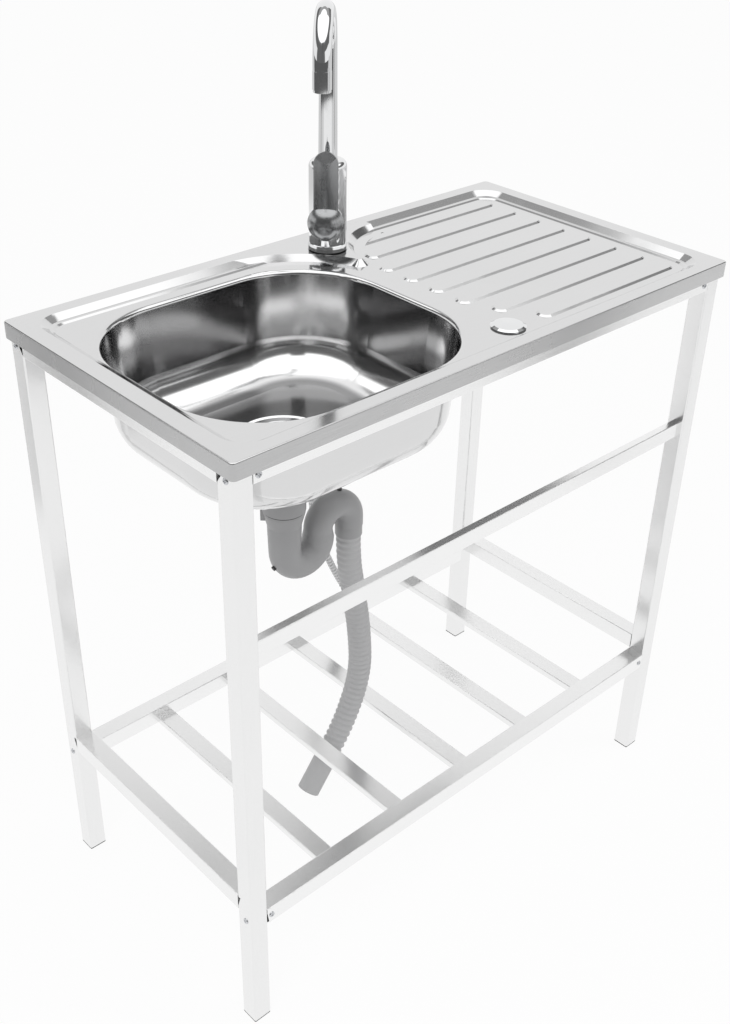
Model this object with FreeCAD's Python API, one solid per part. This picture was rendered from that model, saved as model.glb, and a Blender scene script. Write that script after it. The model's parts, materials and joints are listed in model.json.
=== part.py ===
import FreeCAD, Part
import math
import os

Vector = FreeCAD.Vector
UP = Vector(0, 0, 1)
RIGHT = Vector(1, 0, 0)
BACK = Vector(0, 1, 0)
hair = 0.001

# ---------------------------------------------------------------------------------------------
# Driving dimensions, millimetres. X runs along the front, Y to the back, Z up from the floor.
# ---------------------------------------------------------------------------------------------

# Worktop: one pressed sheet
top_width = 800.0
top_depth = 425.0
top_height = 828.0
sheet = 0.8
apron_height = 20.0
top_corner_radius = 6.0
top_edge_radius = 1.6

# Recessed field in the worktop
rim_left = 22.5
rim_right = 22.0
rim_front = 18.0
rim_back = 20.5
field_corner_radius = 34.0
field_drop = 6.0
field_slope = 9.5
panel_drop = 1.5
panel_slope = 3.0
panel_margin_back = 6.0
panel_margin_right = 6.0

# Bowl, placed by its margins in the recessed field
bowl_half_width = 185.5
bowl_margin_left = 7.0
bowl_margin_front = 7.5
bowl_margin_back = 19.0
bowl_corner_radius = 116.0
bowl_depth = 138.0
bowl_taper = 12.0
bowl_floor_radius = 50.0
bowl_mouth_radius = 6.0

# Raised ledge that carries the tap, between bowl and drainer
ledge_bowl_gap = 38.5
ledge_bend_from_bowl = 129.0
ledge_bend_from_back = 124.5
ledge_drainer_radius = 95.0
ledge_slope = 8.0
ledge_tip_from_back = 114.5
ledge_tip_reach = 4.5

# Drainer ribs
rib_count = 8
rib_width = 22.0
rib_rise = 2.0
rib_slope = 3.0
rib_margin_front = 24.6
rib_margin_back = 21.7
rib_margin_right = 14.5
rib_from_bowl = 36.5
rib_start_steps = (0.0, 0.0, 16.0, 45.0)
rib_ledge_gap = 23.0

# Spare hole between bowl and drainer, with its cap
spare_hole_from_bowl = 31.0
spare_hole_from_front = 55.5
spare_hole_radius = 15.0
cap_radius = 21.2
cap_edge_height = 1.6
cap_height = 4.2
cap_bevel = 3.5
cap_stud_radius = 3.0
cap_stud_length = 26.0
cap_plate_radius = 19.0
cap_plate_thickness = 2.0
cap_nut_width = 10.0
cap_nut_height = 5.0

# Waste in the bowl floor
waste_offset_x = -2.0
waste_recess_radius = 59.0
waste_recess_drop = 3.0
waste_hole_radius = 46.0
waste_metal = 1.0
waste_rim_radius = 55.5
waste_rim_height = 2.4
waste_ledge_drop = 1.2
waste_ledge_radius = 41.5
waste_well_radius = 41.0
waste_well_depth = 20.0
waste_slot_count = 8
waste_slot_width = 3.0
waste_slot_inner = 12.0
waste_slot_outer = 34.0
waste_gasket_thickness = 2.5
waste_body_flange = 3.0
waste_body_wall = 2.5
waste_body_clearance = 1.5
waste_body_depth = 32.0
waste_tail_radius = 20.0
waste_tail_wall = 2.6
waste_tail_length = 55.5
waste_boss_radius = 6.0
waste_bar_width = 3.0
waste_screw_radius = 3.0
waste_screw_head_radius = 6.0
waste_screw_head_height = 2.6
waste_screw_length = 17.0

# Basket that lifts out of the waste
basket_rim_radius = 44.8
basket_rim_thickness = 1.0
basket_top_radius = 39.6
basket_bottom_radius = 35.0
basket_depth = 12.5
basket_post_radius = 2.6
basket_knob_radius = 8.0
basket_knob_height = 5.0
basket_post_height = 9.0
basket_hole_radius = 2.4
basket_inner_ring = 15.0
basket_inner_holes = 7
basket_outer_ring = 26.5
basket_outer_holes = 12

# Trap under the waste
trap_nut_radius = 27.2
trap_nut_height = 28.0
trap_washer_thickness = 1.4
trap_collar_radius = 26.3
trap_collar_height = 3.0
trap_collar_cone = 18.0
trap_inlet_radius = 21.6
trap_bend_pipe = 20.4
trap_arch_pipe = 18.6
trap_bend_radius = 27.2
trap_arch_radius = 26.2
trap_bend_drop = 62.0
trap_arch_rise = 9.7
trap_wall = 2.4
trap_lug_angle = 136.0
trap_lug_width = 9.0
trap_lug_reach = 29.0
trap_lug_height = 15.0
trap_plug_radius = 3.2
trap_plug_height = 2.6
trap_bend_plug_angle = 202.0
trap_arch_plug_angle = 78.0
outlet_drop = 13.0
outlet_nut_radius = 17.9
outlet_nut_height = 14.3
outlet_seam = 0.6
outlet_spigot_radius = 14.0

# Ribbed drain hose. Its free route below the outlet nut, chosen by hand.
hose_crest_radius = 16.4
hose_valley_radius = 14.7
hose_bore_radius = 12.8
hose_cuff_radius = 15.6
hose_cuff_length = 52.0
hose_neck_length = 6.0
hose_rib_count = 44
hose_bore_step = 3
hose_route_tail = (
    (-70.7, -11.5, 472.0),
    (-57.5, -9.5, 410.0),
    (-42.0, -6.0, 330.0),
    (-33.5, -0.5, 250.0),
    (-58.0, 4.0, 172.0),
    (-93.0, 5.0, 121.0),
    (-128.0, 5.0, 75.5),
)

# Tap
tap_from_bowl = 24.0
tap_from_back = 60.5
tap_heading = 225.0
tap_hole_radius = 17.5
tap_seal_radius = 23.0
tap_seal_thickness = 1.3
tap_ring_radius = 25.4
tap_ring_height = 8.7
tap_ring_bevel = 2.2
tap_ring_bore = 20.0
tap_body_radius = 24.2
tap_body_height = 106.0
tap_body_shoulder = 9.0
tap_spigot_clearance = 0.1
tap_waterway_radius = 7.5

# Horizontal cartridge boss and lever hub
hub_height = 44.5
hub_forward = 26.0
hub_radius = 25.0
hub_wall = 2.9
hub_face = 9.0
boss_radius = 20.0
boss_face = 8.5
cartridge_radius = 17.4
cartridge_back = -30.0
cartridge_front = 4.0
cartridge_fit = 0.1
carrier_radius = 13.9
carrier_back = -12.0
carrier_front = 2.6
carrier_fit = 0.08
carrier_slot_half_width = 3.6
carrier_slot_half_height = 9.4
carrier_pin_radius = 1.5
cartridge_ring_bore = 12.4
stem_radius = 3.4
stem_back = -10.0
stem_front = 21.0
stem_pin_clearance = 0.05
lever_post_radius = 6.5
lever_post_back = 12.0
lever_screw_radius = 1.6

# Lever blade
blade_width = 30.8
blade_top = 90.0
blade_front = 14.5
blade_crown_radius = 30.0
blade_thickness = 6.0
blade_facet_drop = 13.0
blade_facet_lean = 24.0

# Spout
spout_foot_radius = 12.0
spout_pipe_radius = 11.0
spout_wall = 1.4
spout_ring_height = 1.5
spout_lift = 0.1
spout_ring_radius = 12.6
spout_neck_radius = 8.6
spout_neck_length = 18.0
spout_neck_fit = 0.06
spout_riser_length = 132.4
spout_arch_radius = 50.0
spout_outlet_drop = 28.0
aerator_length = 23.5
aerator_radius = 11.3
aerator_lip_height = 3.0
aerator_lip_radius = 10.6
aerator_bore = 9.2
mesh_thickness = 2.0

# Tap fixing below the worktop
stud_radius = 4.0
stud_forward = 10.0
stud_inset = 12.0
stud_length = 52.0
stud_fit = 0.2
tap_pad_thickness = 2.5
tap_plate_thickness = 2.0
tap_plate_radius = 21.0
tap_plate_cut = 3.0
tap_nut_width = 13.0
tap_nut_height = 18.0

# Supply hoses
supply_radius = 5.0
tail_radius = 4.2
tail_side = 7.5
tail_back = -4.0
tail_inset = 12.0
ferrule_radius = 5.9
ferrule_length = 17.0
tail_ferrule_drop = 45.0
supply_nut_width = 19.0
supply_nut_length = 13.0
supply_nut_bore = 7.4
supply_nut_floor = 2.5
supply_drop = 66.0
cold_route_tail = (
    (23.0, 163.0, 600.0),
    (17.0, 168.5, 500.0),
    (22.0, 172.0, 420.0),
    (42.0, 172.0, 350.0),
    (66.0, 172.5, 292.0),
    (84.0, 173.0, 258.0),
)
hot_route_tail = (
    (38.0, 160.0, 598.0),
    (31.0, 176.5, 492.0),
    (34.0, 185.0, 409.0),
    (56.0, 187.0, 337.0),
    (82.5, 190.0, 276.7),
    (100.5, 190.5, 242.7),
)

# Frame: legs and rails of square and flat steel tube
leg_size = 25.0
leg_wall = 1.0
leg_edge_radius = 2.0
leg_inset_x = 4.3
leg_inset_y = 6.4
leg_cap_thickness = 1.6
leg_cap_plug = 14.0
leg_cap_fit = 0.1
rail_wall = 1.0
rail_edge_radius = 1.0
top_rail_height = 20.0
top_rail_depth = 12.0
top_rail_drop = 16.0
towel_rail_height = 21.5
towel_rail_depth = 11.0
towel_rail_top_z = 598.5
towel_rail_setback = 5.2
shelf_rail_height = 25.0
shelf_rail_depth = 25.0
shelf_rail_top_z = 193.0
side_rail_height = 25.0
slat_count = 5
slat_end_gap = 118.7
slat_width = 25.5
slat_height = 10.0
slat_drop = 13.0
notch_width = 13.0
notch_height = 19.0
relief_width = 2.6
relief_height = 18.0

# Frame screws
screw_head_radius = 3.8
screw_head_height = 1.8
screw_shank_radius = 2.0
screw_fit = 0.1
side_screw_length = 30.0
side_screw_from_edge = 10.5
side_screw_shelf_drop = 9.5
face_screw_length = 8.0
face_screw_from_leg = 6.5
face_screw_shelf_drop = 13.0
screw_top_rail_drop = 11.0

# ---------------------------------------------------------------------------------------------
# Values worked out from the driving dimensions
# ---------------------------------------------------------------------------------------------

half_width = top_width / 2
half_depth = top_depth / 2
sheet_bottom_z = top_height - sheet
apron_bottom_z = top_height - apron_height
field_x0 = -half_width + rim_left
field_x1 = half_width - rim_right
field_y0 = -half_depth + rim_front
field_y1 = half_depth - rim_back
floor_x0 = field_x0 + field_slope
floor_x1 = field_x1 - field_slope - panel_margin_right - panel_slope
floor_y0 = field_y0 + field_slope
floor_y1 = field_y1 - field_slope - panel_margin_back - panel_slope
floor_z = top_height - field_drop - panel_drop
bowl_x = floor_x0 + bowl_margin_left + bowl_half_width
bowl_right_x = bowl_x + bowl_half_width
bowl_y = (floor_y0 + bowl_margin_front + floor_y1 - bowl_margin_back) / 2
bowl_half_depth = floor_y1 - bowl_margin_back - bowl_y
bowl_floor_z = top_height - bowl_depth
waste_x = bowl_x + waste_offset_x
waste_recess_z = bowl_floor_z - waste_recess_drop
block_bottom_z = waste_recess_z - sheet - leg_size

ledge_drainer_x = bowl_right_x + ledge_bend_from_bowl
ledge_drainer_y = half_depth - ledge_bend_from_back
ledge_tip_y = half_depth - ledge_tip_from_back
rib_left_x = bowl_right_x + rib_from_bowl
rib_right_x = floor_x1 - rib_margin_right
rib_first_y = floor_y0 + rib_margin_front
rib_pitch = (floor_y1 - rib_margin_back - rib_first_y) / (rib_count - 1)
spare_hole_x = bowl_right_x + spare_hole_from_bowl
spare_hole_y = -half_depth + spare_hole_from_front
tap_x = bowl_right_x + tap_from_bowl
tap_y = half_depth - tap_from_back

leg_x = half_width - leg_inset_x - leg_size / 2
leg_y = half_depth - leg_inset_y - leg_size / 2
leg_outer_x = leg_x + leg_size / 2
leg_inner_x = leg_x - leg_size / 2
leg_outer_y = leg_y + leg_size / 2
leg_inner_y = leg_y - leg_size / 2
top_rail_top_z = top_height - top_rail_drop
side_rail_top_z = shelf_rail_top_z + side_rail_height
slat_pitch = 2 * (leg_inner_x - slat_end_gap) / (slat_count - 1)

heading = math.radians(tap_heading)
FORWARD = Vector(math.cos(heading), math.sin(heading), 0)
ACROSS = UP.cross(FORWARD)
tap_base_z = top_height + tap_seal_thickness
tap_body_z = tap_base_z + tap_ring_height
tap_body_top_z = tap_body_z + tap_body_height
hub_z = top_height + hub_height
riser_z = tap_body_top_z + spout_ring_height + spout_lift
spout_arch_z = riser_z + spout_riser_length
spout_outlet_z = spout_arch_z - spout_outlet_drop
tail_ferrule_top = top_height - tail_ferrule_drop

# ---------------------------------------------------------------------------------------------
# Shape helpers
# ---------------------------------------------------------------------------------------------


def box(x0, x1, y0, y1, z0, z1):
    return Part.makeBox(x1 - x0, y1 - y0, z1 - z0, Vector(x0, y0, z0))


def cylinder(radius, length, base, axis=UP):
    return Part.makeCylinder(radius, length, base, axis)


def cone(radius_start, radius_end, length, base, axis=UP):
    return Part.makeCone(radius_start, radius_end, length, base, axis)


def ring(outer, inner, length, base, axis=UP):
    return cylinder(outer, length, base, axis).cut(cylinder(inner, length, base, axis))


def turned(profile, centre_x, centre_y):
    """Solid turned about a vertical axis from (radius, z) corners."""
    corners = [Vector(centre_x + r, centre_y, z) for r, z in profile]
    face = Part.Face(Part.makePolygon(corners + corners[:1]))
    return face.revolve(Vector(centre_x, centre_y, 0), UP, 360)


def hex_bar(width, length, base, axis=UP):
    """Hexagonal bar, width measured across its flats."""
    side_axis = FORWARD if abs(axis.dot(UP)) > 0.5 else UP
    first = (side_axis - axis * side_axis.dot(axis)).normalize()
    second = axis.cross(first)
    corner = width / math.sqrt(3)
    points = []
    for step in range(7):
        angle = math.radians(60 * step)
        points.append(base + first * corner * math.cos(angle) + second * corner * math.sin(angle))
    return Part.Face(Part.makePolygon(points)).extrude(axis * length)


def soft_box(x0, x1, y0, y1, z0, z1, along, radius):
    """Box whose four edges that run along one direction are rounded."""
    solid = box(x0, x1, y0, y1, z0, z1)
    edges = [edge for edge in solid.Edges if abs(edge.tangentAt(edge.FirstParameter).dot(along)) > 0.99]
    return solid.makeFillet(radius, edges)


def hollow_bar(x0, x1, y0, y1, z0, z1, along, wall, radius):
    """Rectangular tube, open at both ends of its long direction."""
    outer = soft_box(x0, x1, y0, y1, z0, z1, along, radius)
    side = Vector(wall, wall, wall) - along * wall
    inner = box(x0 + side.x, x1 - side.x, y0 + side.y, y1 - side.y, z0 + side.z, z1 - side.z)
    return outer.cut(inner)


def rounded_outline(x0, x1, y0, y1, radius, z):
    """Closed outline of a rectangle with round corners, as four lines and four arcs."""
    bend = radius * (1 - math.sqrt(0.5))
    edges = []
    corners = ((x1, y0, -1, 1), (x1, y1, -1, -1), (x0, y1, 1, -1), (x0, y0, 1, 1))
    ends = []
    for x, y, sx, sy in corners:
        near = Vector(x, y + sy * radius, z)
        far = Vector(x + sx * radius, y, z)
        start, stop = (far, near) if sx * sy < 0 else (near, far)
        ends.append((start, Vector(x + sx * bend, y + sy * bend, z), stop))
    for index, (start, middle, stop) in enumerate(ends):
        previous_stop = ends[index - 1][2]
        edges.append(Part.LineSegment(previous_stop, start).toShape())
        edges.append(Part.Arc(start, middle, stop).toShape())
    return Part.Wire(edges)


def rounded_well(x0, x1, y0, y1, radius, z_top, z_bottom, taper):
    """Tapered block between two rounded outlines, wide at the top."""
    upper = rounded_outline(x0, x1, y0, y1, radius, z_top)
    lower = rounded_outline(x0 + taper, x1 - taper, y0 + taper, y1 - taper, radius - taper, z_bottom)
    return Part.makeLoft([lower, upper], True, True)


def edges_at(solid, z, inside=None):
    """Edges that lie flat at one height, within a box of (x0, x1, y0, y1) when one is given."""
    found = []
    for edge in solid.Edges:
        bounds = edge.BoundBox
        if abs(bounds.ZMin - z) > hair or abs(bounds.ZMax - z) > hair:
            continue
        if inside is not None:
            x0, x1, y0, y1 = inside
            if bounds.XMin < x0 or bounds.XMax > x1 or bounds.YMin < y0 or bounds.YMax > y1:
                continue
        found.append(edge)
    return found


def pipe_bend(radius, start, axis_point, axis, angle, facing):
    """Part of a torus: a disc at start, facing one way, turned about an axis."""
    disc = Part.Face(Part.Wire(Part.makeCircle(radius, start, facing)))
    return disc.revolve(axis_point, axis, angle)


# ---------------------------------------------------------------------------------------------
# Worktop with its bowl
# ---------------------------------------------------------------------------------------------


def ledge_block(skin):
    """Raised ledge behind the bowl's corner: its two sides follow the bowl and the drainer."""
    bowl_centre_x = bowl_x + bowl_half_width - bowl_corner_radius
    bowl_centre_y = bowl_y + bowl_half_depth - bowl_corner_radius
    back_y = half_depth

    def outline(spread, z):
        left_radius = bowl_corner_radius + ledge_bowl_gap - spread
        right_radius = ledge_drainer_radius - spread
        tip_y = ledge_tip_y
        left_tip = bowl_centre_x + math.sqrt(left_radius ** 2 - (tip_y - bowl_centre_y) ** 2)
        right_tip = ledge_drainer_x - math.sqrt(right_radius ** 2 - (tip_y - ledge_drainer_y) ** 2)
        left_back = Vector(bowl_centre_x, back_y, z)
        left_start = Vector(bowl_centre_x, bowl_centre_y + left_radius, z)
        left_angle = (math.pi / 2 + math.asin((tip_y - bowl_centre_y) / left_radius)) / 2
        left_middle = Vector(bowl_centre_x + left_radius * math.cos(left_angle),
                             bowl_centre_y + left_radius * math.sin(left_angle), z)
        left_end = Vector(left_tip, tip_y, z)
        tip = Vector((left_tip + right_tip) / 2, tip_y - ledge_tip_reach - spread, z)
        right_end = Vector(right_tip, tip_y, z)
        drop = math.asin((tip_y - ledge_drainer_y) / right_radius)
        right_angle = (math.pi / 2 + math.pi - drop) / 2
        right_middle = Vector(ledge_drainer_x + right_radius * math.cos(right_angle),
                              ledge_drainer_y + right_radius * math.sin(right_angle), z)
        right_start = Vector(ledge_drainer_x, ledge_drainer_y + right_radius, z)
        right_back = Vector(ledge_drainer_x, back_y, z)
        return Part.Wire([
            Part.LineSegment(left_back, left_start).toShape(),
            Part.Arc(left_start, left_middle, left_end).toShape(),
            Part.Arc(left_end, tip, right_end).toShape(),
            Part.Arc(right_end, right_middle, right_start).toShape(),
            Part.LineSegment(right_start, right_back).toShape(),
            Part.LineSegment(right_back, left_back).toShape(),
        ])

    upper = outline(0.0, top_height - skin)
    lower = outline(ledge_slope, floor_z - skin)
    return Part.makeLoft([lower, upper], True, True)


def rib_block(index, skin):
    """One pressed rib of the drainer, standing on the field's floor."""
    beside_ledge = index == rib_count - 1
    steps_from_middle = min(int(abs(index - (rib_count - 1) / 2)), len(rib_start_steps) - 1)
    x0 = rib_left_x + rib_start_steps[steps_from_middle - 1 if beside_ledge else steps_from_middle]
    y = rib_first_y + index * rib_pitch
    z = floor_z - skin
    half = rib_width / 2
    corner = half - sheet
    lower = rounded_outline(x0, rib_right_x, y - half, y + half, corner, z)
    upper = rounded_outline(x0 + rib_slope, rib_right_x - rib_slope, y - half + rib_slope,
                            y + half - rib_slope, corner - rib_slope, z + rib_rise)
    rib = Part.makeLoft([lower, upper], True, True)
    if beside_ledge:
        bend = ledge_drainer_radius - rib_ledge_gap
        allowed = cone(bend, bend - rib_slope, rib_rise, Vector(ledge_drainer_x, ledge_drainer_y, z))
        top_z = z + rib_rise
        allowed = allowed.fuse(box(ledge_drainer_x, rib_right_x, y - rib_width, y + rib_width, z, top_z))
        rib = rib.common(allowed)
    return rib


def bowl_cavity(skin):
    """Room inside the bowl, grown by skin, with the round floor edge and the recess of the waste."""
    grow = bowl_half_width + skin, bowl_half_depth + skin
    z_floor = bowl_floor_z - skin
    cavity = rounded_well(bowl_x - grow[0], bowl_x + grow[0], bowl_y - grow[1], bowl_y + grow[1],
                          bowl_corner_radius + skin, floor_z - skin, z_floor, bowl_taper)
    cavity = cavity.makeFillet(bowl_floor_radius + skin, edges_at(cavity, z_floor))
    recess = cone(waste_recess_radius - waste_recess_drop + skin, waste_recess_radius + skin,
                  waste_recess_drop, Vector(waste_x, bowl_y, z_floor - waste_recess_drop))
    return cavity.fuse(recess)


def pressed_block(skin):
    """All that lies under the sheet's upper face, or under its lower face where skin is its thickness."""
    upper_z = top_height - skin
    block = soft_box(-half_width + skin, half_width - skin, -half_depth + skin, half_depth - skin,
                     block_bottom_z, upper_z, UP, top_corner_radius - skin)
    block = block.makeFillet(top_edge_radius - skin, edges_at(block, upper_z))
    field = rounded_well(field_x0, field_x1, field_y0, field_y1, field_corner_radius,
                         upper_z, upper_z - field_drop, field_slope)
    panel = rounded_well(floor_x0, floor_x1 + panel_slope, floor_y0, floor_y1 + panel_slope,
                         field_corner_radius - field_slope, upper_z - field_drop, floor_z - skin,
                         panel_slope)
    recess = field.fuse(panel).cut(ledge_block(skin))
    block = block.cut(recess)
    reach = sheet + hair
    mouth = (bowl_x - bowl_half_width - reach, bowl_x + bowl_half_width + reach,
             bowl_y - bowl_half_depth - reach, bowl_y + bowl_half_depth + reach)
    block = block.cut(bowl_cavity(skin))
    block = block.makeFillet(bowl_mouth_radius - skin, edges_at(block, floor_z - skin, mouth))
    for index in range(rib_count):
        block = block.fuse(rib_block(index, skin))
    return block


def sink_top():
    shell = pressed_block(0.0).cut(pressed_block(sheet))
    below = box(-top_width, top_width, -top_depth, top_depth, block_bottom_z - leg_size, apron_bottom_z)
    reach = bowl_mouth_radius + sheet
    bowl_zone = box(bowl_x - bowl_half_width - reach, bowl_x + bowl_half_width + reach,
                    bowl_y - bowl_half_depth - reach, bowl_y + bowl_half_depth + reach,
                    block_bottom_z - leg_size, apron_bottom_z)
    shell = shell.cut(below.cut(bowl_zone))
    depth = waste_recess_drop + sheet
    for radius, x, y, z in (
        (tap_hole_radius, tap_x, tap_y, sheet_bottom_z),
        (spare_hole_radius, spare_hole_x, spare_hole_y, floor_z - sheet),
        (waste_hole_radius, waste_x, bowl_y, waste_recess_z - sheet),
    ):
        shell = shell.cut(cylinder(radius, depth, Vector(x, y, z - sheet)))
    return shell


# ---------------------------------------------------------------------------------------------
# Cap over the spare hole
# ---------------------------------------------------------------------------------------------


def hole_cap():
    z = floor_z
    cap = turned(((0, z), (cap_radius, z), (cap_radius, z + cap_edge_height),
                  (cap_radius - cap_bevel, z + cap_height - cap_edge_height / 2), (0, z + cap_height)),
                 spare_hole_x, spare_hole_y)
    foot = Vector(spare_hole_x, spare_hole_y, z - cap_stud_length)
    return cap.fuse(cylinder(cap_stud_radius, cap_stud_length, foot))


def hole_cap_plate():
    base = Vector(spare_hole_x, spare_hole_y, floor_z - sheet - cap_plate_thickness)
    return ring(cap_plate_radius, cap_stud_radius, cap_plate_thickness, base)


def hole_cap_nut():
    z = floor_z - sheet - cap_plate_thickness - cap_nut_height
    base = Vector(spare_hole_x, spare_hole_y, z)
    return hex_bar(cap_nut_width, cap_nut_height, base).cut(cylinder(cap_stud_radius, cap_nut_height, base))


# ---------------------------------------------------------------------------------------------
# Waste and basket
# ---------------------------------------------------------------------------------------------

well_floor_z = waste_recess_z - waste_well_depth
waste_ledge_z = waste_recess_z + waste_rim_height - waste_ledge_drop
gasket_z = waste_recess_z - sheet - waste_gasket_thickness
waste_body_z = gasket_z - waste_body_flange
cup_floor_z = gasket_z - waste_body_depth
tail_bottom_z = cup_floor_z - waste_body_wall - waste_tail_length


def waste_flange():
    z_rim = waste_recess_z + waste_rim_height
    inner = waste_ledge_radius + 2 * (waste_rim_height - waste_ledge_drop) + waste_metal
    profile = (
        (waste_rim_radius, waste_recess_z), (waste_rim_radius, z_rim - waste_metal / 2),
        (waste_rim_radius - waste_metal, z_rim), (inner + waste_metal, z_rim), (inner, waste_ledge_z),
        (waste_ledge_radius, waste_ledge_z), (waste_well_radius, waste_ledge_z - waste_metal),
        (waste_well_radius, well_floor_z), (waste_screw_radius, well_floor_z),
        (waste_screw_radius, well_floor_z - waste_metal),
        (waste_well_radius + waste_metal, well_floor_z - waste_metal),
        (waste_well_radius + waste_metal, waste_recess_z),
    )
    flange = turned(profile, waste_x, bowl_y)
    slot_length = waste_slot_outer - waste_slot_inner
    for index in range(waste_slot_count):
        corner = Vector(waste_slot_inner, -waste_slot_width / 2, well_floor_z - 1.5 * waste_metal)
        slot = Part.makeBox(slot_length, waste_slot_width, 2 * waste_metal, corner)
        slot.rotate(Vector(0, 0, 0), UP, 360 / waste_slot_count * index)
        slot.translate(Vector(waste_x, bowl_y, 0))
        flange = flange.cut(slot)
    return flange


def waste_gasket():
    base = Vector(waste_x, bowl_y, gasket_z)
    return ring(waste_rim_radius, waste_hole_radius, waste_gasket_thickness, base)


def waste_body():
    inner = waste_well_radius + waste_metal + waste_body_clearance
    outer = inner + waste_body_wall
    profile = (
        (inner, gasket_z), (waste_rim_radius, gasket_z), (waste_rim_radius, waste_body_z),
        (outer, waste_body_z),
        (outer, cup_floor_z), (waste_tail_radius, cup_floor_z - waste_body_wall),
        (waste_tail_radius, tail_bottom_z), (waste_tail_radius - waste_tail_wall, tail_bottom_z),
        (waste_tail_radius - waste_tail_wall, cup_floor_z), (inner, cup_floor_z + waste_body_wall),
    )
    body = turned(profile, waste_x, bowl_y)
    boss_bottom = cup_floor_z - waste_body_wall
    boss_top = well_floor_z - waste_metal
    boss = cylinder(waste_boss_radius, boss_top - boss_bottom, Vector(waste_x, bowl_y, boss_bottom))
    half = inner + waste_body_wall / 2
    bar_top = cup_floor_z + waste_boss_radius
    thin = waste_bar_width / 2
    bars = box(waste_x - half, waste_x + half, bowl_y - thin, bowl_y + thin, boss_bottom, bar_top)
    bars = bars.fuse(box(waste_x - thin, waste_x + thin, bowl_y - half, bowl_y + half, boss_bottom, bar_top))
    allowed = cone(waste_tail_radius - waste_tail_wall / 2, inner + waste_body_wall / 2,
                   bar_top - boss_bottom, Vector(waste_x, bowl_y, boss_bottom))
    body = body.fuse(bars.common(allowed)).fuse(boss)
    return body.cut(cylinder(waste_screw_radius, waste_screw_length, Vector(waste_x, bowl_y, boss_bottom)))


def waste_screw():
    head = turned(((0, well_floor_z), (waste_screw_head_radius, well_floor_z),
                   (waste_screw_head_radius, well_floor_z + waste_screw_head_height / 2),
                   (waste_screw_head_radius / 2, well_floor_z + waste_screw_head_height),
                   (0, well_floor_z + waste_screw_head_height)), waste_x, bowl_y)
    tip = Vector(waste_x, bowl_y, well_floor_z - waste_screw_length)
    shank = cylinder(waste_screw_radius, waste_screw_length, tip)
    slot = box(waste_x - waste_screw_head_radius, waste_x + waste_screw_head_radius,
               bowl_y - waste_metal / 2, bowl_y + waste_metal / 2,
               well_floor_z + waste_screw_head_height / 2, well_floor_z + waste_screw_head_height)
    return head.fuse(shank).cut(slot)


def waste_basket():
    z_rim = waste_ledge_z
    z_floor = z_rim - basket_depth
    t = waste_metal
    profile = (
        (basket_rim_radius, z_rim), (basket_rim_radius, z_rim + basket_rim_thickness),
        (basket_top_radius - t, z_rim + basket_rim_thickness), (basket_bottom_radius - t, z_floor + t),
        (basket_post_radius, z_floor + t), (basket_post_radius, z_floor + t + basket_post_height),
        (basket_knob_radius, z_floor + t + basket_post_height),
        (basket_knob_radius, z_floor + t + basket_post_height + basket_knob_height / 2),
        (basket_knob_radius - 2 * t, z_floor + t + basket_post_height + basket_knob_height),
        (0, z_floor + t + basket_post_height + basket_knob_height), (0, z_floor),
        (basket_bottom_radius, z_floor), (basket_top_radius, z_rim),
    )
    basket = turned(profile, waste_x, bowl_y)
    for radius, count in ((basket_inner_ring, basket_inner_holes), (basket_outer_ring, basket_outer_holes)):
        for index in range(count):
            angle = 2 * math.pi * index / count
            out = Vector(math.cos(angle), math.sin(angle), 0)
            foot = Vector(waste_x, bowl_y, z_floor - t) + out * radius
            basket = basket.cut(cylinder(basket_hole_radius, 3 * t, foot))
    return basket


# ---------------------------------------------------------------------------------------------
# Trap
# ---------------------------------------------------------------------------------------------

trap_top_z = tail_bottom_z - trap_washer_thickness
trap_bend_z = trap_top_z - trap_bend_drop
trap_arch_z = trap_bend_z + trap_arch_rise
outlet_nut_top_z = trap_arch_z - outlet_drop
outlet_nut_bottom_z = outlet_nut_top_z - outlet_nut_height
riser_x = waste_x + 2 * trap_bend_radius
outlet_x = riser_x + 2 * trap_arch_radius


def trap_nut():
    base = Vector(waste_x, bowl_y, tail_bottom_z)
    nut = cylinder(trap_nut_radius, trap_nut_height, base)
    nut = nut.makeChamfer(waste_metal, edges_at(nut, tail_bottom_z + trap_nut_height))
    return nut.cut(cylinder(waste_tail_radius, trap_nut_height, base))


def trap_washer():
    return ring(trap_collar_radius, waste_tail_radius - waste_tail_wall, trap_washer_thickness,
                Vector(waste_x, bowl_y, trap_top_z))


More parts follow.
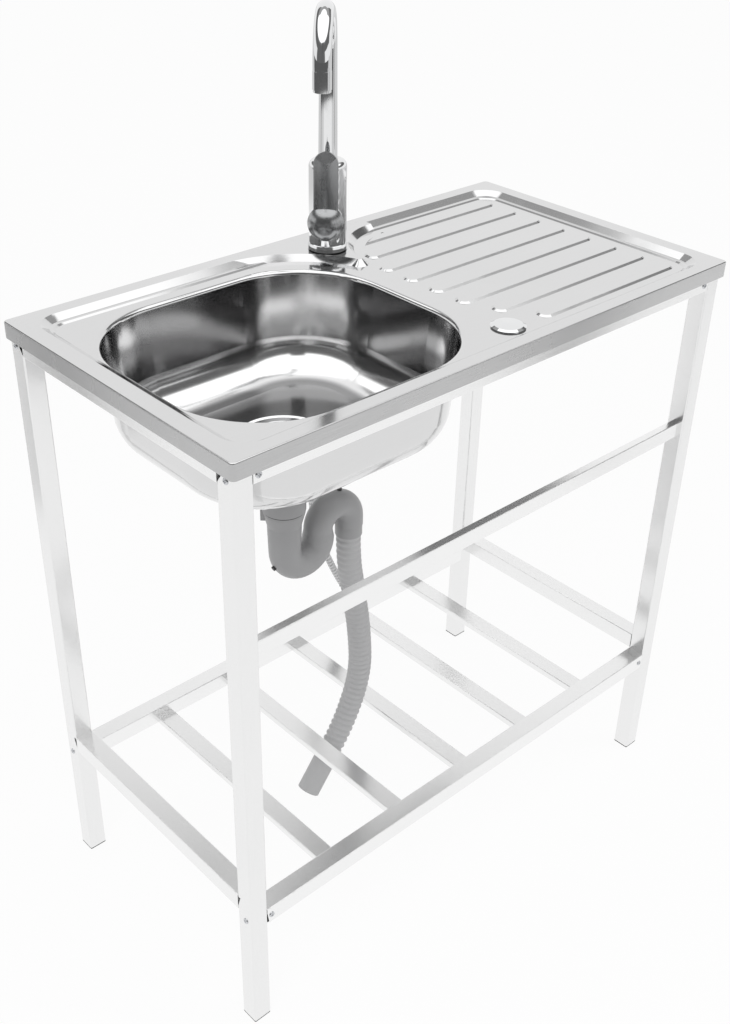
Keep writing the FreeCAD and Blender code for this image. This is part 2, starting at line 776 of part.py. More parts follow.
def trap_run(shrink):
    """The trap's outer form, or its bore where shrink is the wall."""
    collar_z = trap_top_z - trap_collar_height
    inlet_z = collar_z - trap_collar_cone
    inlet = trap_inlet_radius - shrink
    bend = trap_bend_pipe - shrink
    arch = trap_arch_pipe - shrink
    column = cone(bend, inlet, inlet_z - trap_bend_z, Vector(waste_x, bowl_y, trap_bend_z))
    if shrink > 0:
        neck = cylinder(inlet, trap_top_z - inlet_z, Vector(waste_x, bowl_y, inlet_z))
    else:
        neck = cone(inlet, trap_collar_radius, trap_collar_cone, Vector(waste_x, bowl_y, inlet_z))
        collar_foot = Vector(waste_x, bowl_y, collar_z)
        neck = neck.fuse(cylinder(trap_collar_radius, trap_collar_height, collar_foot))
    lower = pipe_bend(bend, Vector(waste_x, bowl_y, trap_bend_z),
                      Vector(waste_x + trap_bend_radius, bowl_y, trap_bend_z), BACK, -180, UP)
    riser = cone(bend, arch, trap_arch_z - trap_bend_z, Vector(riser_x, bowl_y, trap_bend_z))
    upper = pipe_bend(arch, Vector(riser_x, bowl_y, trap_arch_z),
                      Vector(riser_x + trap_arch_radius, bowl_y, trap_arch_z), BACK, 180, UP)
    seam_z = outlet_nut_top_z + outlet_seam
    drop_z = seam_z + shrink
    drop = cylinder(arch, trap_arch_z - drop_z, Vector(outlet_x, bowl_y, drop_z))
    spigot = cylinder(outlet_spigot_radius - shrink, drop_z - outlet_nut_bottom_z,
                      Vector(outlet_x, bowl_y, outlet_nut_bottom_z))
    return column.fuse([neck, lower, riser, upper, drop, spigot])


def trap_lug():
    """Small grip beside the inlet collar."""
    lug = Part.makeBox(trap_lug_reach, trap_lug_width, trap_lug_height,
                       Vector(0, -trap_lug_width / 2, trap_top_z - trap_lug_height))
    lug.rotate(Vector(0, 0, 0), UP, trap_lug_angle)
    lug.translate(Vector(waste_x, bowl_y, 0))
    return lug


def plug_place(angle, centre_x, centre_z, reach):
    """Foot and direction of a small plug on a bend's outer side."""
    turn = math.radians(angle)
    out = Vector(math.cos(turn), 0, math.sin(turn))
    return Vector(centre_x, bowl_y, centre_z) + out * reach, out


def trap_plug_places():
    return (
        plug_place(trap_bend_plug_angle, waste_x + trap_bend_radius, trap_bend_z,
                   trap_bend_radius + trap_bend_pipe),
        plug_place(trap_arch_plug_angle, riser_x + trap_arch_radius, trap_arch_z,
                   trap_arch_radius + trap_arch_pipe),
    )


def trap_bend():
    body = trap_run(0.0).fuse(trap_lug())
    body = body.cut(trap_run(trap_wall))
    for foot, out in trap_plug_places():
        body = body.cut(cylinder(trap_plug_radius, trap_plug_height, foot - out * trap_wall / 2, out))
    return body


def trap_plugs():
    plugs = []
    for foot, out in trap_plug_places():
        length = trap_wall / 2 + trap_plug_height
        plugs.append(cylinder(trap_plug_radius, length, foot - out * trap_wall / 2, out))
    return Part.makeCompound(plugs)


def trap_outlet_nut():
    base = Vector(outlet_x, bowl_y, outlet_nut_bottom_z)
    return ring(outlet_nut_radius, outlet_spigot_radius, outlet_nut_height, base)


# ---------------------------------------------------------------------------------------------
# Hose routes
# ---------------------------------------------------------------------------------------------


def route_path(points, name, radius):
    """Straight runs joined by tangent arcs, each as large as its two runs allow."""
    edges = []
    start = points[0]
    least = None
    for before, point, after in zip(points, points[1:], points[2:]):
        arriving = (point - before)
        leaving = (after - point)
        turn = arriving.getAngle(leaving)
        reach = 0.45 * min(arriving.Length, leaving.Length)
        bend = reach / math.tan(turn / 2)
        least = bend if least is None else min(least, bend)
        first = point - Vector(arriving).normalize() * reach
        last = point + Vector(leaving).normalize() * reach
        inward = (first + last) * 0.5 - point
        sag = (first - last).Length / 2
        rise = bend - math.sqrt(max(bend ** 2 - sag ** 2, 0.0))
        middle = (first + last) * 0.5 - Vector(inward).normalize() * rise
        edges.append(Part.LineSegment(start, first).toShape())
        edges.append(Part.Arc(first, middle, last).toShape())
        start = last
    edges.append(Part.LineSegment(start, points[-1]).toShape())
    path = Part.Wire(edges)
    print(name, "length", round(path.Length, 1), "least bend radius", round(least, 1),
          "diameters", round(least / (2 * radius), 1))
    return path


def station(path, distance):
    """Point and direction at a distance along a route."""
    left = distance
    for edge in path.Edges:
        if left <= edge.Length + hair:
            parameter = edge.getParameterByLength(min(left, edge.Length))
            return edge.valueAt(parameter), edge.tangentAt(parameter)
        left -= edge.Length
    last = path.Edges[-1]
    return last.valueAt(last.LastParameter), last.tangentAt(last.LastParameter)


def steady_circle(centre, direction, radius):
    """Circle across a route whose start point keeps to one side, so a loft through several never twists."""
    side = (BACK - direction * BACK.dot(direction)).normalize()
    other = direction.cross(side)
    frame = FreeCAD.Matrix(side.x, other.x, direction.x, centre.x,
                           side.y, other.y, direction.y, centre.y,
                           side.z, other.z, direction.z, centre.z,
                           0, 0, 0, 1)
    circle = Part.makeCircle(radius)
    circle.Placement = FreeCAD.Placement(frame)
    return Part.Wire(circle)


# ---------------------------------------------------------------------------------------------
# Ribbed drain hose
# ---------------------------------------------------------------------------------------------


def hose_points():
    start = Vector(outlet_x, bowl_y, outlet_nut_bottom_z)
    return [start] + [Vector(*point) for point in hose_route_tail]


def drain_hose():
    path = route_path(hose_points(), "drain hose", hose_crest_radius)
    rings = []
    bores = []

    def add(distance, radius):
        point, direction = station(path, distance)
        rings.append(steady_circle(point, direction, radius))

    def add_bore(distance):
        point, direction = station(path, distance)
        bores.append(steady_circle(point, direction, hose_bore_radius))

    add(0.0, hose_cuff_radius)
    add_bore(0.0)
    add(hose_neck_length, hose_cuff_radius)
    ribbed = path.Length - hose_cuff_length - hose_neck_length
    pitch = ribbed / hose_rib_count
    for index in range(hose_rib_count):
        begin = hose_neck_length + index * pitch
        add(begin + pitch * 0.08, hose_valley_radius)
        add(begin + pitch * 0.34, hose_crest_radius)
        add(begin + pitch * 0.62, hose_crest_radius)
        add(begin + pitch * 0.90, hose_valley_radius)
        if index % hose_bore_step == 0:
            add_bore(begin + pitch * 0.5)
    add(path.Length - hose_cuff_length, hose_cuff_radius)
    add(path.Length, hose_cuff_radius)
    add_bore(path.Length)
    outer = Part.makeLoft(rings, True, True)
    inner = Part.makeLoft(bores, True, True)
    hose = outer.cut(inner)
    print("drain hose ribs", hose_rib_count, "wall at the valleys", hose_valley_radius - hose_bore_radius,
          "volume", round(hose.Volume))
    return hose


# ---------------------------------------------------------------------------------------------
# Tap
# ---------------------------------------------------------------------------------------------


def tap_point(forward, across, z):
    """Point in the tap's own directions: forward to the lever, across, and height above the floor."""
    return Vector(tap_x, tap_y, z) + FORWARD * forward + ACROSS * across


def tap_seal():
    return ring(tap_seal_radius, tap_hole_radius, tap_seal_thickness, tap_point(0, 0, top_height))


def tap_base_ring():
    z = tap_base_z
    r = tap_ring_radius
    top = z + tap_ring_height
    return turned(((tap_ring_bore, z), (r, z), (r, z + tap_ring_height / 2),
                   (r - tap_ring_bevel / 2, top - tap_ring_bevel / 2), (r - tap_ring_bevel, top),
                   (tap_ring_bore, top)), tap_x, tap_y)


def tail_spots():
    return [tap_point(tail_back, side * tail_side, 0) for side in (-1, 1)]


def tap_body():
    axis_point = tap_point(0, 0, tap_body_z)
    body = cylinder(tap_body_radius, tap_body_height, axis_point)
    body = body.makeFillet(tap_body_shoulder, edges_at(body, tap_body_top_z))
    spigot = cylinder(tap_ring_bore - tap_spigot_clearance, tap_ring_height, tap_point(0, 0, tap_base_z))
    boss = cylinder(boss_radius, hub_forward + boss_face, tap_point(0, 0, hub_z), FORWARD)
    body = body.fuse([spigot, boss])
    bore_start = hub_forward + cartridge_back
    bore_foot = tap_point(bore_start, 0, hub_z)
    body = body.cut(cylinder(cartridge_radius, boss_face - cartridge_back, bore_foot, FORWARD))
    neck_z = tap_body_top_z - spout_neck_length
    neck_foot = tap_point(0, 0, neck_z)
    body = body.cut(cylinder(spout_neck_radius + spout_neck_fit, spout_neck_length, neck_foot))
    body = body.cut(cylinder(tap_waterway_radius, neck_z - hub_z, tap_point(0, 0, hub_z)))
    for spot in tail_spots():
        body = body.cut(cylinder(tail_radius, tail_inset, spot + UP * tap_base_z))
    stud_spot = tap_point(stud_forward, 0, tap_base_z)
    return body.cut(cylinder(stud_radius, stud_inset, stud_spot))


def tap_cartridge():
    length = cartridge_front - cartridge_back
    housing = cylinder(cartridge_radius - cartridge_fit, length,
                       tap_point(hub_forward + cartridge_back, 0, hub_z), FORWARD)
    room = cylinder(carrier_radius, cartridge_front - carrier_back,
                    tap_point(hub_forward + carrier_back, 0, hub_z), FORWARD)
    return housing.cut(room)


def tap_cartridge_ring():
    return ring(cartridge_radius, cartridge_ring_bore, boss_face - cartridge_front,
                tap_point(hub_forward + cartridge_front, 0, hub_z), FORWARD)


def carrier_pin(radius, half_length):
    return cylinder(radius, 2 * half_length, tap_point(hub_forward, -half_length, hub_z), ACROSS)


def tap_carrier():
    """Drum that turns inside the cartridge and holds the stem on a cross pin."""
    drum = cylinder(carrier_radius - carrier_fit, carrier_front - carrier_back,
                    tap_point(hub_forward + carrier_back, 0, hub_z), FORWARD)
    corner = tap_point(hub_forward + carrier_back, -carrier_slot_half_width,
                       hub_z - carrier_slot_half_height)
    slot_points = []
    for across, rise in ((0, 0), (2 * carrier_slot_half_width, 0),
                         (2 * carrier_slot_half_width, 2 * carrier_slot_half_height),
                         (0, 2 * carrier_slot_half_height), (0, 0)):
        slot_points.append(corner + ACROSS * across + UP * rise)
    slot = Part.Face(Part.makePolygon(slot_points)).extrude(FORWARD * (carrier_front - carrier_back))
    return drum.cut(slot).fuse(carrier_pin(carrier_pin_radius, carrier_slot_half_width + stem_radius))


def tap_stem():
    """Rod from the cross pin to the lever."""
    base = tap_point(hub_forward + stem_back, 0, hub_z)
    rod = cylinder(stem_radius, stem_front - stem_back, base, FORWARD)
    return rod.cut(carrier_pin(carrier_pin_radius + stem_pin_clearance, 2 * stem_radius))


def blade():
    """Lever blade: a crowned strip with a round top and a flat facet near its tip."""
    half = blade_width / 2
    z_bottom = hub_z
    z_top = hub_z + blade_top
    front = hub_forward + blade_front
    sag = blade_crown_radius - math.sqrt(blade_crown_radius ** 2 - half ** 2)
    back = front - blade_thickness - sag
    section = Part.Wire([
        Part.Arc(tap_point(front - sag, -half, z_bottom), tap_point(front, 0, z_bottom),
                 tap_point(front - sag, half, z_bottom)).toShape(),
        Part.LineSegment(tap_point(front - sag, half, z_bottom),
                         tap_point(back + sag / 2, half, z_bottom)).toShape(),
        Part.LineSegment(tap_point(back + sag / 2, half, z_bottom),
                         tap_point(back + sag / 2, -half, z_bottom)).toShape(),
        Part.LineSegment(tap_point(back + sag / 2, -half, z_bottom),
                         tap_point(front - sag, -half, z_bottom)).toShape(),
    ])
    strip = Part.Face(section).extrude(UP * blade_top)
    outline = Part.Wire([
        Part.LineSegment(tap_point(back, -half, z_bottom), tap_point(back, half, z_bottom)).toShape(),
        Part.LineSegment(tap_point(back, half, z_bottom), tap_point(back, half, z_top - half)).toShape(),
        Part.Arc(tap_point(back, half, z_top - half), tap_point(back, 0, z_top),
                 tap_point(back, -half, z_top - half)).toShape(),
        Part.LineSegment(tap_point(back, -half, z_top - half), tap_point(back, -half, z_bottom)).toShape(),
    ])
    strip = strip.common(Part.Face(outline).extrude(FORWARD * (front - back)))
    lean = math.radians(blade_facet_lean)
    facet_foot = tap_point(front, -half, z_top - blade_facet_drop)
    facet_up = UP * math.cos(lean) - FORWARD * math.sin(lean)
    facet_corners = [facet_foot, facet_foot + ACROSS * blade_width,
                     facet_foot + ACROSS * blade_width + facet_up * blade_width,
                     facet_foot + facet_up * blade_width, facet_foot]
    cutter = Part.Face(Part.makePolygon(facet_corners)).extrude(FORWARD * blade_width)
    return strip.cut(cutter)


def tap_lever():
    pivot = tap_point(hub_forward, 0, hub_z)
    dome = Part.makeSphere(hub_radius, pivot)
    keep = cylinder(hub_radius, hub_radius, tap_point(hub_forward + hub_face, 0, hub_z), FORWARD)
    shell = dome.common(keep).fuse(blade())
    inside = hub_radius - hub_wall
    shell = shell.cut(Part.makeSphere(inside, pivot))
    post = cylinder(lever_post_radius, hub_radius - hub_wall / 2 - lever_post_back,
                    tap_point(hub_forward + lever_post_back, 0, hub_z), FORWARD)
    shell = shell.fuse(post)
    rod_foot = tap_point(hub_forward + stem_back, 0, hub_z)
    shell = shell.cut(cylinder(stem_radius, stem_front - stem_back, rod_foot, FORWARD))
    return shell.cut(lever_screw_hole())


def lever_screw_hole():
    """Grub screw hole up through the bottom of the hub to the stem."""
    forward = hub_forward + (lever_post_back + stem_front) / 2
    return cylinder(lever_screw_radius, hub_radius - stem_radius, tap_point(forward, 0, hub_z - hub_radius))


def tap_lever_screw():
    forward = hub_forward + (lever_post_back + stem_front) / 2
    length = lever_post_radius + hub_wall
    return cylinder(lever_screw_radius, length, tap_point(forward, 0, hub_z - stem_radius - length))


def spout_run(shrink):
    """The spout's outer form, or its bore where shrink is the wall."""
    pipe = spout_pipe_radius - shrink
    foot_z = riser_z + shrink
    riser = cone(spout_foot_radius - shrink, pipe, spout_arch_z - foot_z, tap_point(0, 0, foot_z))
    top = tap_point(0, 0, spout_arch_z)
    arch = pipe_bend(pipe, top, tap_point(spout_arch_radius, 0, spout_arch_z), ACROSS, 180, UP)
    joint_z = spout_outlet_z + aerator_length
    drop = cylinder(pipe, spout_arch_z - joint_z, tap_point(2 * spout_arch_radius, 0, joint_z))
    return riser.fuse([arch, drop])


def tap_spout():
    neck_z = tap_body_top_z - spout_neck_length
    neck = cylinder(spout_neck_radius, riser_z - neck_z, tap_point(0, 0, neck_z))
    bore = cylinder(spout_neck_radius - spout_wall, riser_z - neck_z, tap_point(0, 0, neck_z))
    return spout_run(0.0).cut(spout_run(spout_wall)).fuse(neck).cut(bore)


def tap_spout_ring():
    return ring(spout_ring_radius, spout_neck_radius + spout_neck_fit, spout_ring_height,
                tap_point(0, 0, tap_body_top_z))


def tap_aerator():
    z = spout_outlet_z
    centre = tap_point(2 * spout_arch_radius, 0, 0)
    return turned(((aerator_bore, z), (aerator_lip_radius, z), (aerator_lip_radius, z + aerator_lip_height),
                   (aerator_radius, z + aerator_lip_height), (aerator_radius, z + aerator_length),
                   (aerator_bore, z + aerator_length)), centre.x, centre.y)


def tap_aerator_mesh():
    base = tap_point(2 * spout_arch_radius, 0, spout_outlet_z + mesh_thickness / 2)
    return cylinder(aerator_bore, mesh_thickness, base)


def clamp_half(thickness, z):
    """Half-moon plate round the stud, open towards the supply tails."""
    disc = cylinder(tap_plate_radius, thickness, tap_point(0, 0, z))
    corner = tap_point(tap_plate_cut, -tap_plate_radius, z)
    cut_points = [corner, corner + ACROSS * 2 * tap_plate_radius,
                  corner + ACROSS * 2 * tap_plate_radius - FORWARD * 2 * tap_plate_radius,
                  corner - FORWARD * 2 * tap_plate_radius, corner]
    cutter = Part.Face(Part.makePolygon(cut_points)).extrude(UP * thickness)
    return disc.cut(cutter).cut(cylinder(stud_radius + stud_fit, thickness, tap_point(stud_forward, 0, z)))


pad_z = sheet_bottom_z - tap_pad_thickness
plate_z = pad_z - tap_plate_thickness
tap_nut_z = plate_z - tap_nut_height


def tap_pad():
    return clamp_half(tap_pad_thickness, pad_z)


def tap_plate():
    return clamp_half(tap_plate_thickness, plate_z)


def tap_stud():
    base = tap_point(stud_forward, 0, tap_base_z + stud_inset - stud_length)
    return cylinder(stud_radius, stud_length, base)


def tap_nut():
    base = tap_point(stud_forward, 0, tap_nut_z)
    return hex_bar(tap_nut_width, tap_nut_height, base).cut(cylinder(stud_radius, tap_nut_height, base))


# ---------------------------------------------------------------------------------------------
# Supply hoses
# ---------------------------------------------------------------------------------------------

hose_start_z = tail_ferrule_top - ferrule_length


def supply_tails():
    """Rigid upper ends: a rod up into the tap's body and a crimped sleeve."""
    tails = []
    for spot in tail_spots():
        rod_length = tap_base_z + tail_inset - tail_ferrule_top
        rod = cylinder(tail_radius, rod_length, spot + UP * tail_ferrule_top)
        sleeve = cylinder(ferrule_radius, ferrule_length, spot + UP * hose_start_z)
        tails.append(rod.fuse(sleeve))
    return Part.makeCompound(tails)


def supply_points(spot, route_tail):
    start = spot + UP * hose_start_z
    return [start, start - UP * supply_drop] + [Vector(*point) for point in route_tail]


def supply_hose(spot, route_tail, name):
    points = supply_points(spot, route_tail)
    path = route_path(points, name, supply_radius)
    disc = Part.Wire(Part.makeCircle(supply_radius, points[0], points[1] - points[0]))
    tube = path.makePipeShell([disc], True, False)
    ideal = math.pi * supply_radius ** 2 * path.Length
    print(name, "volume", round(tube.Volume), "section times length", round(ideal))
    return tube


def supply_nuts():
    """Crimped sleeve and hexagonal nut on the free end of each hose."""
    ends = []
    for spot, route_tail in zip(tail_spots(), (cold_route_tail, hot_route_tail)):
        points = supply_points(spot, route_tail)
        along = (points[-1] - points[-2]).normalize()
        end = points[-1]
        sleeve = cylinder(ferrule_radius, ferrule_length, end, along)
        nut = hex_bar(supply_nut_width, supply_nut_length, end + along * ferrule_length, along)
        bore_foot = end + along * (ferrule_length + supply_nut_floor)
        bore = cylinder(supply_nut_bore, supply_nut_length, bore_foot, along)
        ends.append(sleeve.fuse(nut).cut(bore))
    return Part.makeCompound(ends)


# ---------------------------------------------------------------------------------------------
# Frame
# ---------------------------------------------------------------------------------------------


def screw(spot, inward, length):
    """Round-headed screw whose head stands on a face at spot."""
    shank = cylinder(screw_shank_radius, length, spot, inward)
    head = cone(screw_head_radius, screw_head_radius * 0.6, screw_head_height, spot, inward * -1)
    return head.fuse(shank)


def side_screw_spots():
    """Screws through the legs' outer side faces into the ends of the front and back rails."""
    spots = []
    for side in (-1, 1):
        for end in (-1, 1):
            for z in (shelf_rail_top_z - side_screw_shelf_drop, top_rail_top_z - screw_top_rail_drop):
                spot = Vector(side * leg_outer_x, end * (leg_outer_y - side_screw_from_edge), z)
                spots.append((spot, RIGHT * -side))
    return spots


def face_screw_spots():
    """Screws in the outer faces of the front and back rails, beside the legs."""
    spots = []
    for side in (-1, 1):
        for end in (-1, 1):
            for z in (shelf_rail_top_z - face_screw_shelf_drop, top_rail_top_z - screw_top_rail_drop):
                spot = Vector(side * (leg_inner_x - face_screw_from_leg), end * leg_outer_y, z)
                spots.append((spot, BACK * -end))
    return spots


def side_screws():
    screws = [screw(spot, inward, side_screw_length) for spot, inward in side_screw_spots()]
    return Part.makeCompound(screws)


def face_screws():
    screws = [screw(spot, inward, face_screw_length) for spot, inward in face_screw_spots()]
    return Part.makeCompound(screws)


def drill(solid, spots, length):
    """Holes for the screws that pass through a bar."""
    for spot, inward in spots:
        mouth = spot - inward * screw_fit
        hole = cylinder(screw_shank_radius + screw_fit, length + screw_fit, mouth, inward)
        if hole.common(solid).Volume > hair:
            solid = solid.cut(hole)
    return solid


def wedge(corner, width_vector, height_vector, through):
    """Three-cornered cutter."""
    points = [corner, corner + width_vector, corner + height_vector, corner]
    return Part.Face(Part.makePolygon(points)).extrude(through)


def leg(side, end):
    """Square tube leg. Its outer side face is cut to a point beside each side rail."""
    x = side * leg_x
    y = end * leg_y
    half = leg_size / 2
    tube = hollow_bar(x - half, x + half, y - half, y + half, leg_cap_thickness, sheet_bottom_z, UP,
                      leg_wall, leg_edge_radius)
    face_x = side * (leg_outer_x + leg_wall)
    for top_z, width, height in ((top_rail_top_z, notch_width, notch_height),
                                 (side_rail_top_z - relief_width, 2 * relief_width, relief_height)):
        corner = Vector(face_x, end * leg_inner_y, top_z)
        cutter = wedge(corner, BACK * end * width, UP * -height, RIGHT * -side * 2.5 * leg_wall)
        tube = tube.cut(cutter)
    return drill(tube, side_screw_spots(), side_screw_length)


def leg_caps():
    """Plastic end caps pushed into the four legs."""
    caps = []
    half = leg_size / 2
    plug = half - leg_wall - leg_cap_fit
    for side in (-1, 1):
        for end in (-1, 1):
            x = side * leg_x
            y = end * leg_y
            cap = soft_box(x - half, x + half, y - half, y + half, 0, leg_cap_thickness, UP,
                           leg_edge_radius)
            top_z = leg_cap_thickness + leg_cap_plug
            bore = plug - leg_cap_thickness
            stem = box(x - plug, x + plug, y - plug, y + plug, leg_cap_thickness, top_z)
            core = box(x - bore, x + bore, y - bore, y + bore, leg_cap_thickness, top_z)
            caps.append(cap.fuse(stem.cut(core)))
    return Part.makeCompound(caps)


def long_rail(end, depth, height, top_z, setback=0.0, relief=False):
    """Rail along the front (end -1) or back (end 1), from leg to leg."""
    outer = end * (leg_outer_y - setback)
    inner = outer - end * depth
    y0, y1 = min(outer, inner), max(outer, inner)
    rail = hollow_bar(-leg_inner_x, leg_inner_x, y0, y1, top_z - height, top_z, RIGHT,
                      rail_wall, rail_edge_radius)
    if relief:
        for side in (-1, 1):
            corner = Vector(side * leg_inner_x, outer + end * rail_wall, top_z - height - rail_wall)
            cutter = wedge(corner, RIGHT * -side * relief_width, UP * relief_height,
                           BACK * -end * 2.5 * rail_wall)
            rail = rail.cut(cutter)
    rail = drill(rail, face_screw_spots(), face_screw_length)
    return drill(rail, side_screw_spots(), side_screw_length)


def side_rail(side, width, height, top_z):
    """Rail along the left (side -1) or right (side 1), from leg to leg."""
    outer = side * leg_outer_x
    inner = outer - side * width
    x0, x1 = min(outer, inner), max(outer, inner)
    return hollow_bar(x0, x1, -leg_inner_y, leg_inner_y, top_z - height, top_z, BACK,
                      rail_wall, rail_edge_radius)


def slat(index):
    """Flat tube from the front shelf rail to the back one."""
    x = (index - (slat_count - 1) / 2) * slat_pitch
    reach = leg_outer_y - shelf_rail_depth
    top_z = shelf_rail_top_z - slat_drop
    return hollow_bar(x - slat_width / 2, x + slat_width / 2, -reach, reach, top_z - slat_height, top_z,
                      BACK, rail_wall, rail_edge_radius)


# ---------------------------------------------------------------------------------------------
# All pieces
# ---------------------------------------------------------------------------------------------


def build_pieces():
    pieces = {
        "sink_top": sink_top(),
        "hole_cap": hole_cap(),
        "hole_cap_plate": hole_cap_plate(),
        "hole_cap_nut": hole_cap_nut(),
        "waste_flange": waste_flange(),
        "waste_gasket": waste_gasket(),
        "waste_body": waste_body(),
        "waste_screw": waste_screw(),
        "waste_basket": waste_basket(),
        "trap_nut": trap_nut(),
        "trap_washer": trap_washer(),
        "trap_bend": trap_bend(),
        "trap_plugs": trap_plugs(),
        "trap_outlet_nut": trap_outlet_nut(),
        "drain_hose": drain_hose(),
        "tap_seal": tap_seal(),
        "tap_base_ring": tap_base_ring(),
        "tap_body": tap_body(),
        "tap_cartridge": tap_cartridge(),
        "tap_cartridge_ring": tap_cartridge_ring(),
        "tap_carrier": tap_carrier(),
        "tap_stem": tap_stem(),
        "tap_lever": tap_lever(),
        "tap_lever_screw": tap_lever_screw(),
        "tap_spout": tap_spout(),
        "tap_spout_ring": tap_spout_ring(),
        "tap_aerator": tap_aerator(),
        "tap_aerator_mesh": tap_aerator_mesh(),
        "tap_pad": tap_pad(),
        "tap_plate": tap_plate(),
        "tap_stud": tap_stud(),
        "tap_nut": tap_nut(),
        "supply_tails": supply_tails(),
        "supply_nuts": supply_nuts(),
        "leg_caps": leg_caps(),
        "towel_rail": long_rail(-1, towel_rail_depth, towel_rail_height, towel_rail_top_z,
                                towel_rail_setback),
        "side_screws": side_screws(),
        "face_screws": face_screws(),
    }
    cold_spot, hot_spot = tail_spots()
    pieces["supply_hose_hot"] = supply_hose(hot_spot, hot_route_tail, "hot supply hose")
    pieces["supply_hose_cold"] = supply_hose(cold_spot, cold_route_tail, "cold supply hose")
    for side, side_name in ((-1, "left"), (1, "right")):
        for end, end_name in ((-1, "front"), (1, "back")):
            pieces[f"leg_{end_name}_{side_name}"] = leg(side, end)
        pieces[f"top_rail_{side_name}"] = side_rail(side, top_rail_depth, top_rail_height, top_rail_top_z)
        pieces[f"shelf_rail_{side_name}"] = side_rail(side, leg_size, side_rail_height, side_rail_top_z)
    for end, end_name in ((-1, "front"), (1, "back")):
        pieces[f"top_rail_{end_name}"] = long_rail(end, top_rail_depth, top_rail_height, top_rail_top_z)
        pieces[f"shelf_rail_{end_name}"] = long_rail(end, shelf_rail_depth, shelf_rail_height,
                                                     shelf_rail_top_z, relief=True)
    for index in range(slat_count):
        pieces[f"shelf_slat_{index + 1}"] = slat(index)
    return pieces


def main():
    os.makedirs("parts", exist_ok=True)
    for name, shape in build_pieces().items():
        if not shape.isValid():
            print("not valid:", name)
        shape.exportStep(f"parts/{name}.step")
        print(name, "solids", len(shape.Solids), "volume", round(shape.Volume))


main()
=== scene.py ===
# %% [markdown]
# # A steel kitchen sink unit
#
# The real thing is a pressed steel worktop with a bowl and a drainer, on a frame of square tube. A tap
# stands on it, and a grey trap and a ribbed hose hang below it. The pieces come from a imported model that
# must not move, so this lesson is about what is laid over them: metal that reflects a room, moulded
# plastic, and three hoses.

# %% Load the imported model
import json
import math

import bpy
from mathutils import Matrix, Vector


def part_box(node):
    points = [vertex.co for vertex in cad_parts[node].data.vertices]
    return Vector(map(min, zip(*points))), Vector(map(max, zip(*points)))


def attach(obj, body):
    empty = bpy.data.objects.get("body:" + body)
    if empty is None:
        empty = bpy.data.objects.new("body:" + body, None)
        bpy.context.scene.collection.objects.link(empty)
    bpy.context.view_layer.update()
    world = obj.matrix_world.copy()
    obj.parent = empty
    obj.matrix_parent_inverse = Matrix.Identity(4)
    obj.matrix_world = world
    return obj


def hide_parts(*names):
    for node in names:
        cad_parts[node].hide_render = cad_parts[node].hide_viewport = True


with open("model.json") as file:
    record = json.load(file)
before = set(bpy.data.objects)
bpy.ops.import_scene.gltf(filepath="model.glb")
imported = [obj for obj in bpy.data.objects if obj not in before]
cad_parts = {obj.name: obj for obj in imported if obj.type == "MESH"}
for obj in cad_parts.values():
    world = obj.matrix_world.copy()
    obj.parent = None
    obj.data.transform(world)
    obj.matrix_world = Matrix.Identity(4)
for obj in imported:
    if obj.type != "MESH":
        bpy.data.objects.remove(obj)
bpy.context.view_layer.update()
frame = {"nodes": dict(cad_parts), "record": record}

nodes = frame["nodes"]

# %% [markdown]
# ## The camera
#
# A camera is easiest to place the way a photographer does it: choose what it looks at, how far round and
# how high it stands, how far away, and how much it leans. The lens length follows from how strongly the
# lines draw together. Building the turn from three directions avoids juggling angles about axes.

# %% Place the camera
camera_target = Vector((-0.0894, -0.0620, 0.5757))
camera_around = math.radians(-43.181)
camera_above = math.radians(32.377)
camera_lean = 0.023
camera_distance = 1.5622
camera_lens = 44.18

back = Vector((math.sin(camera_around) * math.cos(camera_above),
               -math.cos(camera_around) * math.cos(camera_above),
               math.sin(camera_above)))
level_right = Vector((math.cos(camera_around), math.sin(camera_around), 0.0))
level_up = back.cross(level_right)
right = level_right * math.cos(camera_lean) + level_up * math.sin(camera_lean)
up = level_up * math.cos(camera_lean) - level_right * math.sin(camera_lean)

camera_data = bpy.data.cameras.new("camera")
camera_data.lens = camera_lens
camera = bpy.data.objects.new("camera", camera_data)
bpy.context.scene.collection.objects.link(camera)
turned = Matrix((right, up, back)).transposed().to_4x4()
camera.matrix_world = Matrix.Translation(camera_target + back * camera_distance) @ turned
bpy.context.scene.camera = camera
print("camera at", [round(value, 3) for value in camera.location])

# %% [markdown]
# ## Wiring nodes with plain sums
#
# Materials and Geometry Nodes are both trees of sockets. Adding every Math node by hand hides the idea
# behind the wiring, so one small class wraps a socket: a sum written in Python adds the node that does it.

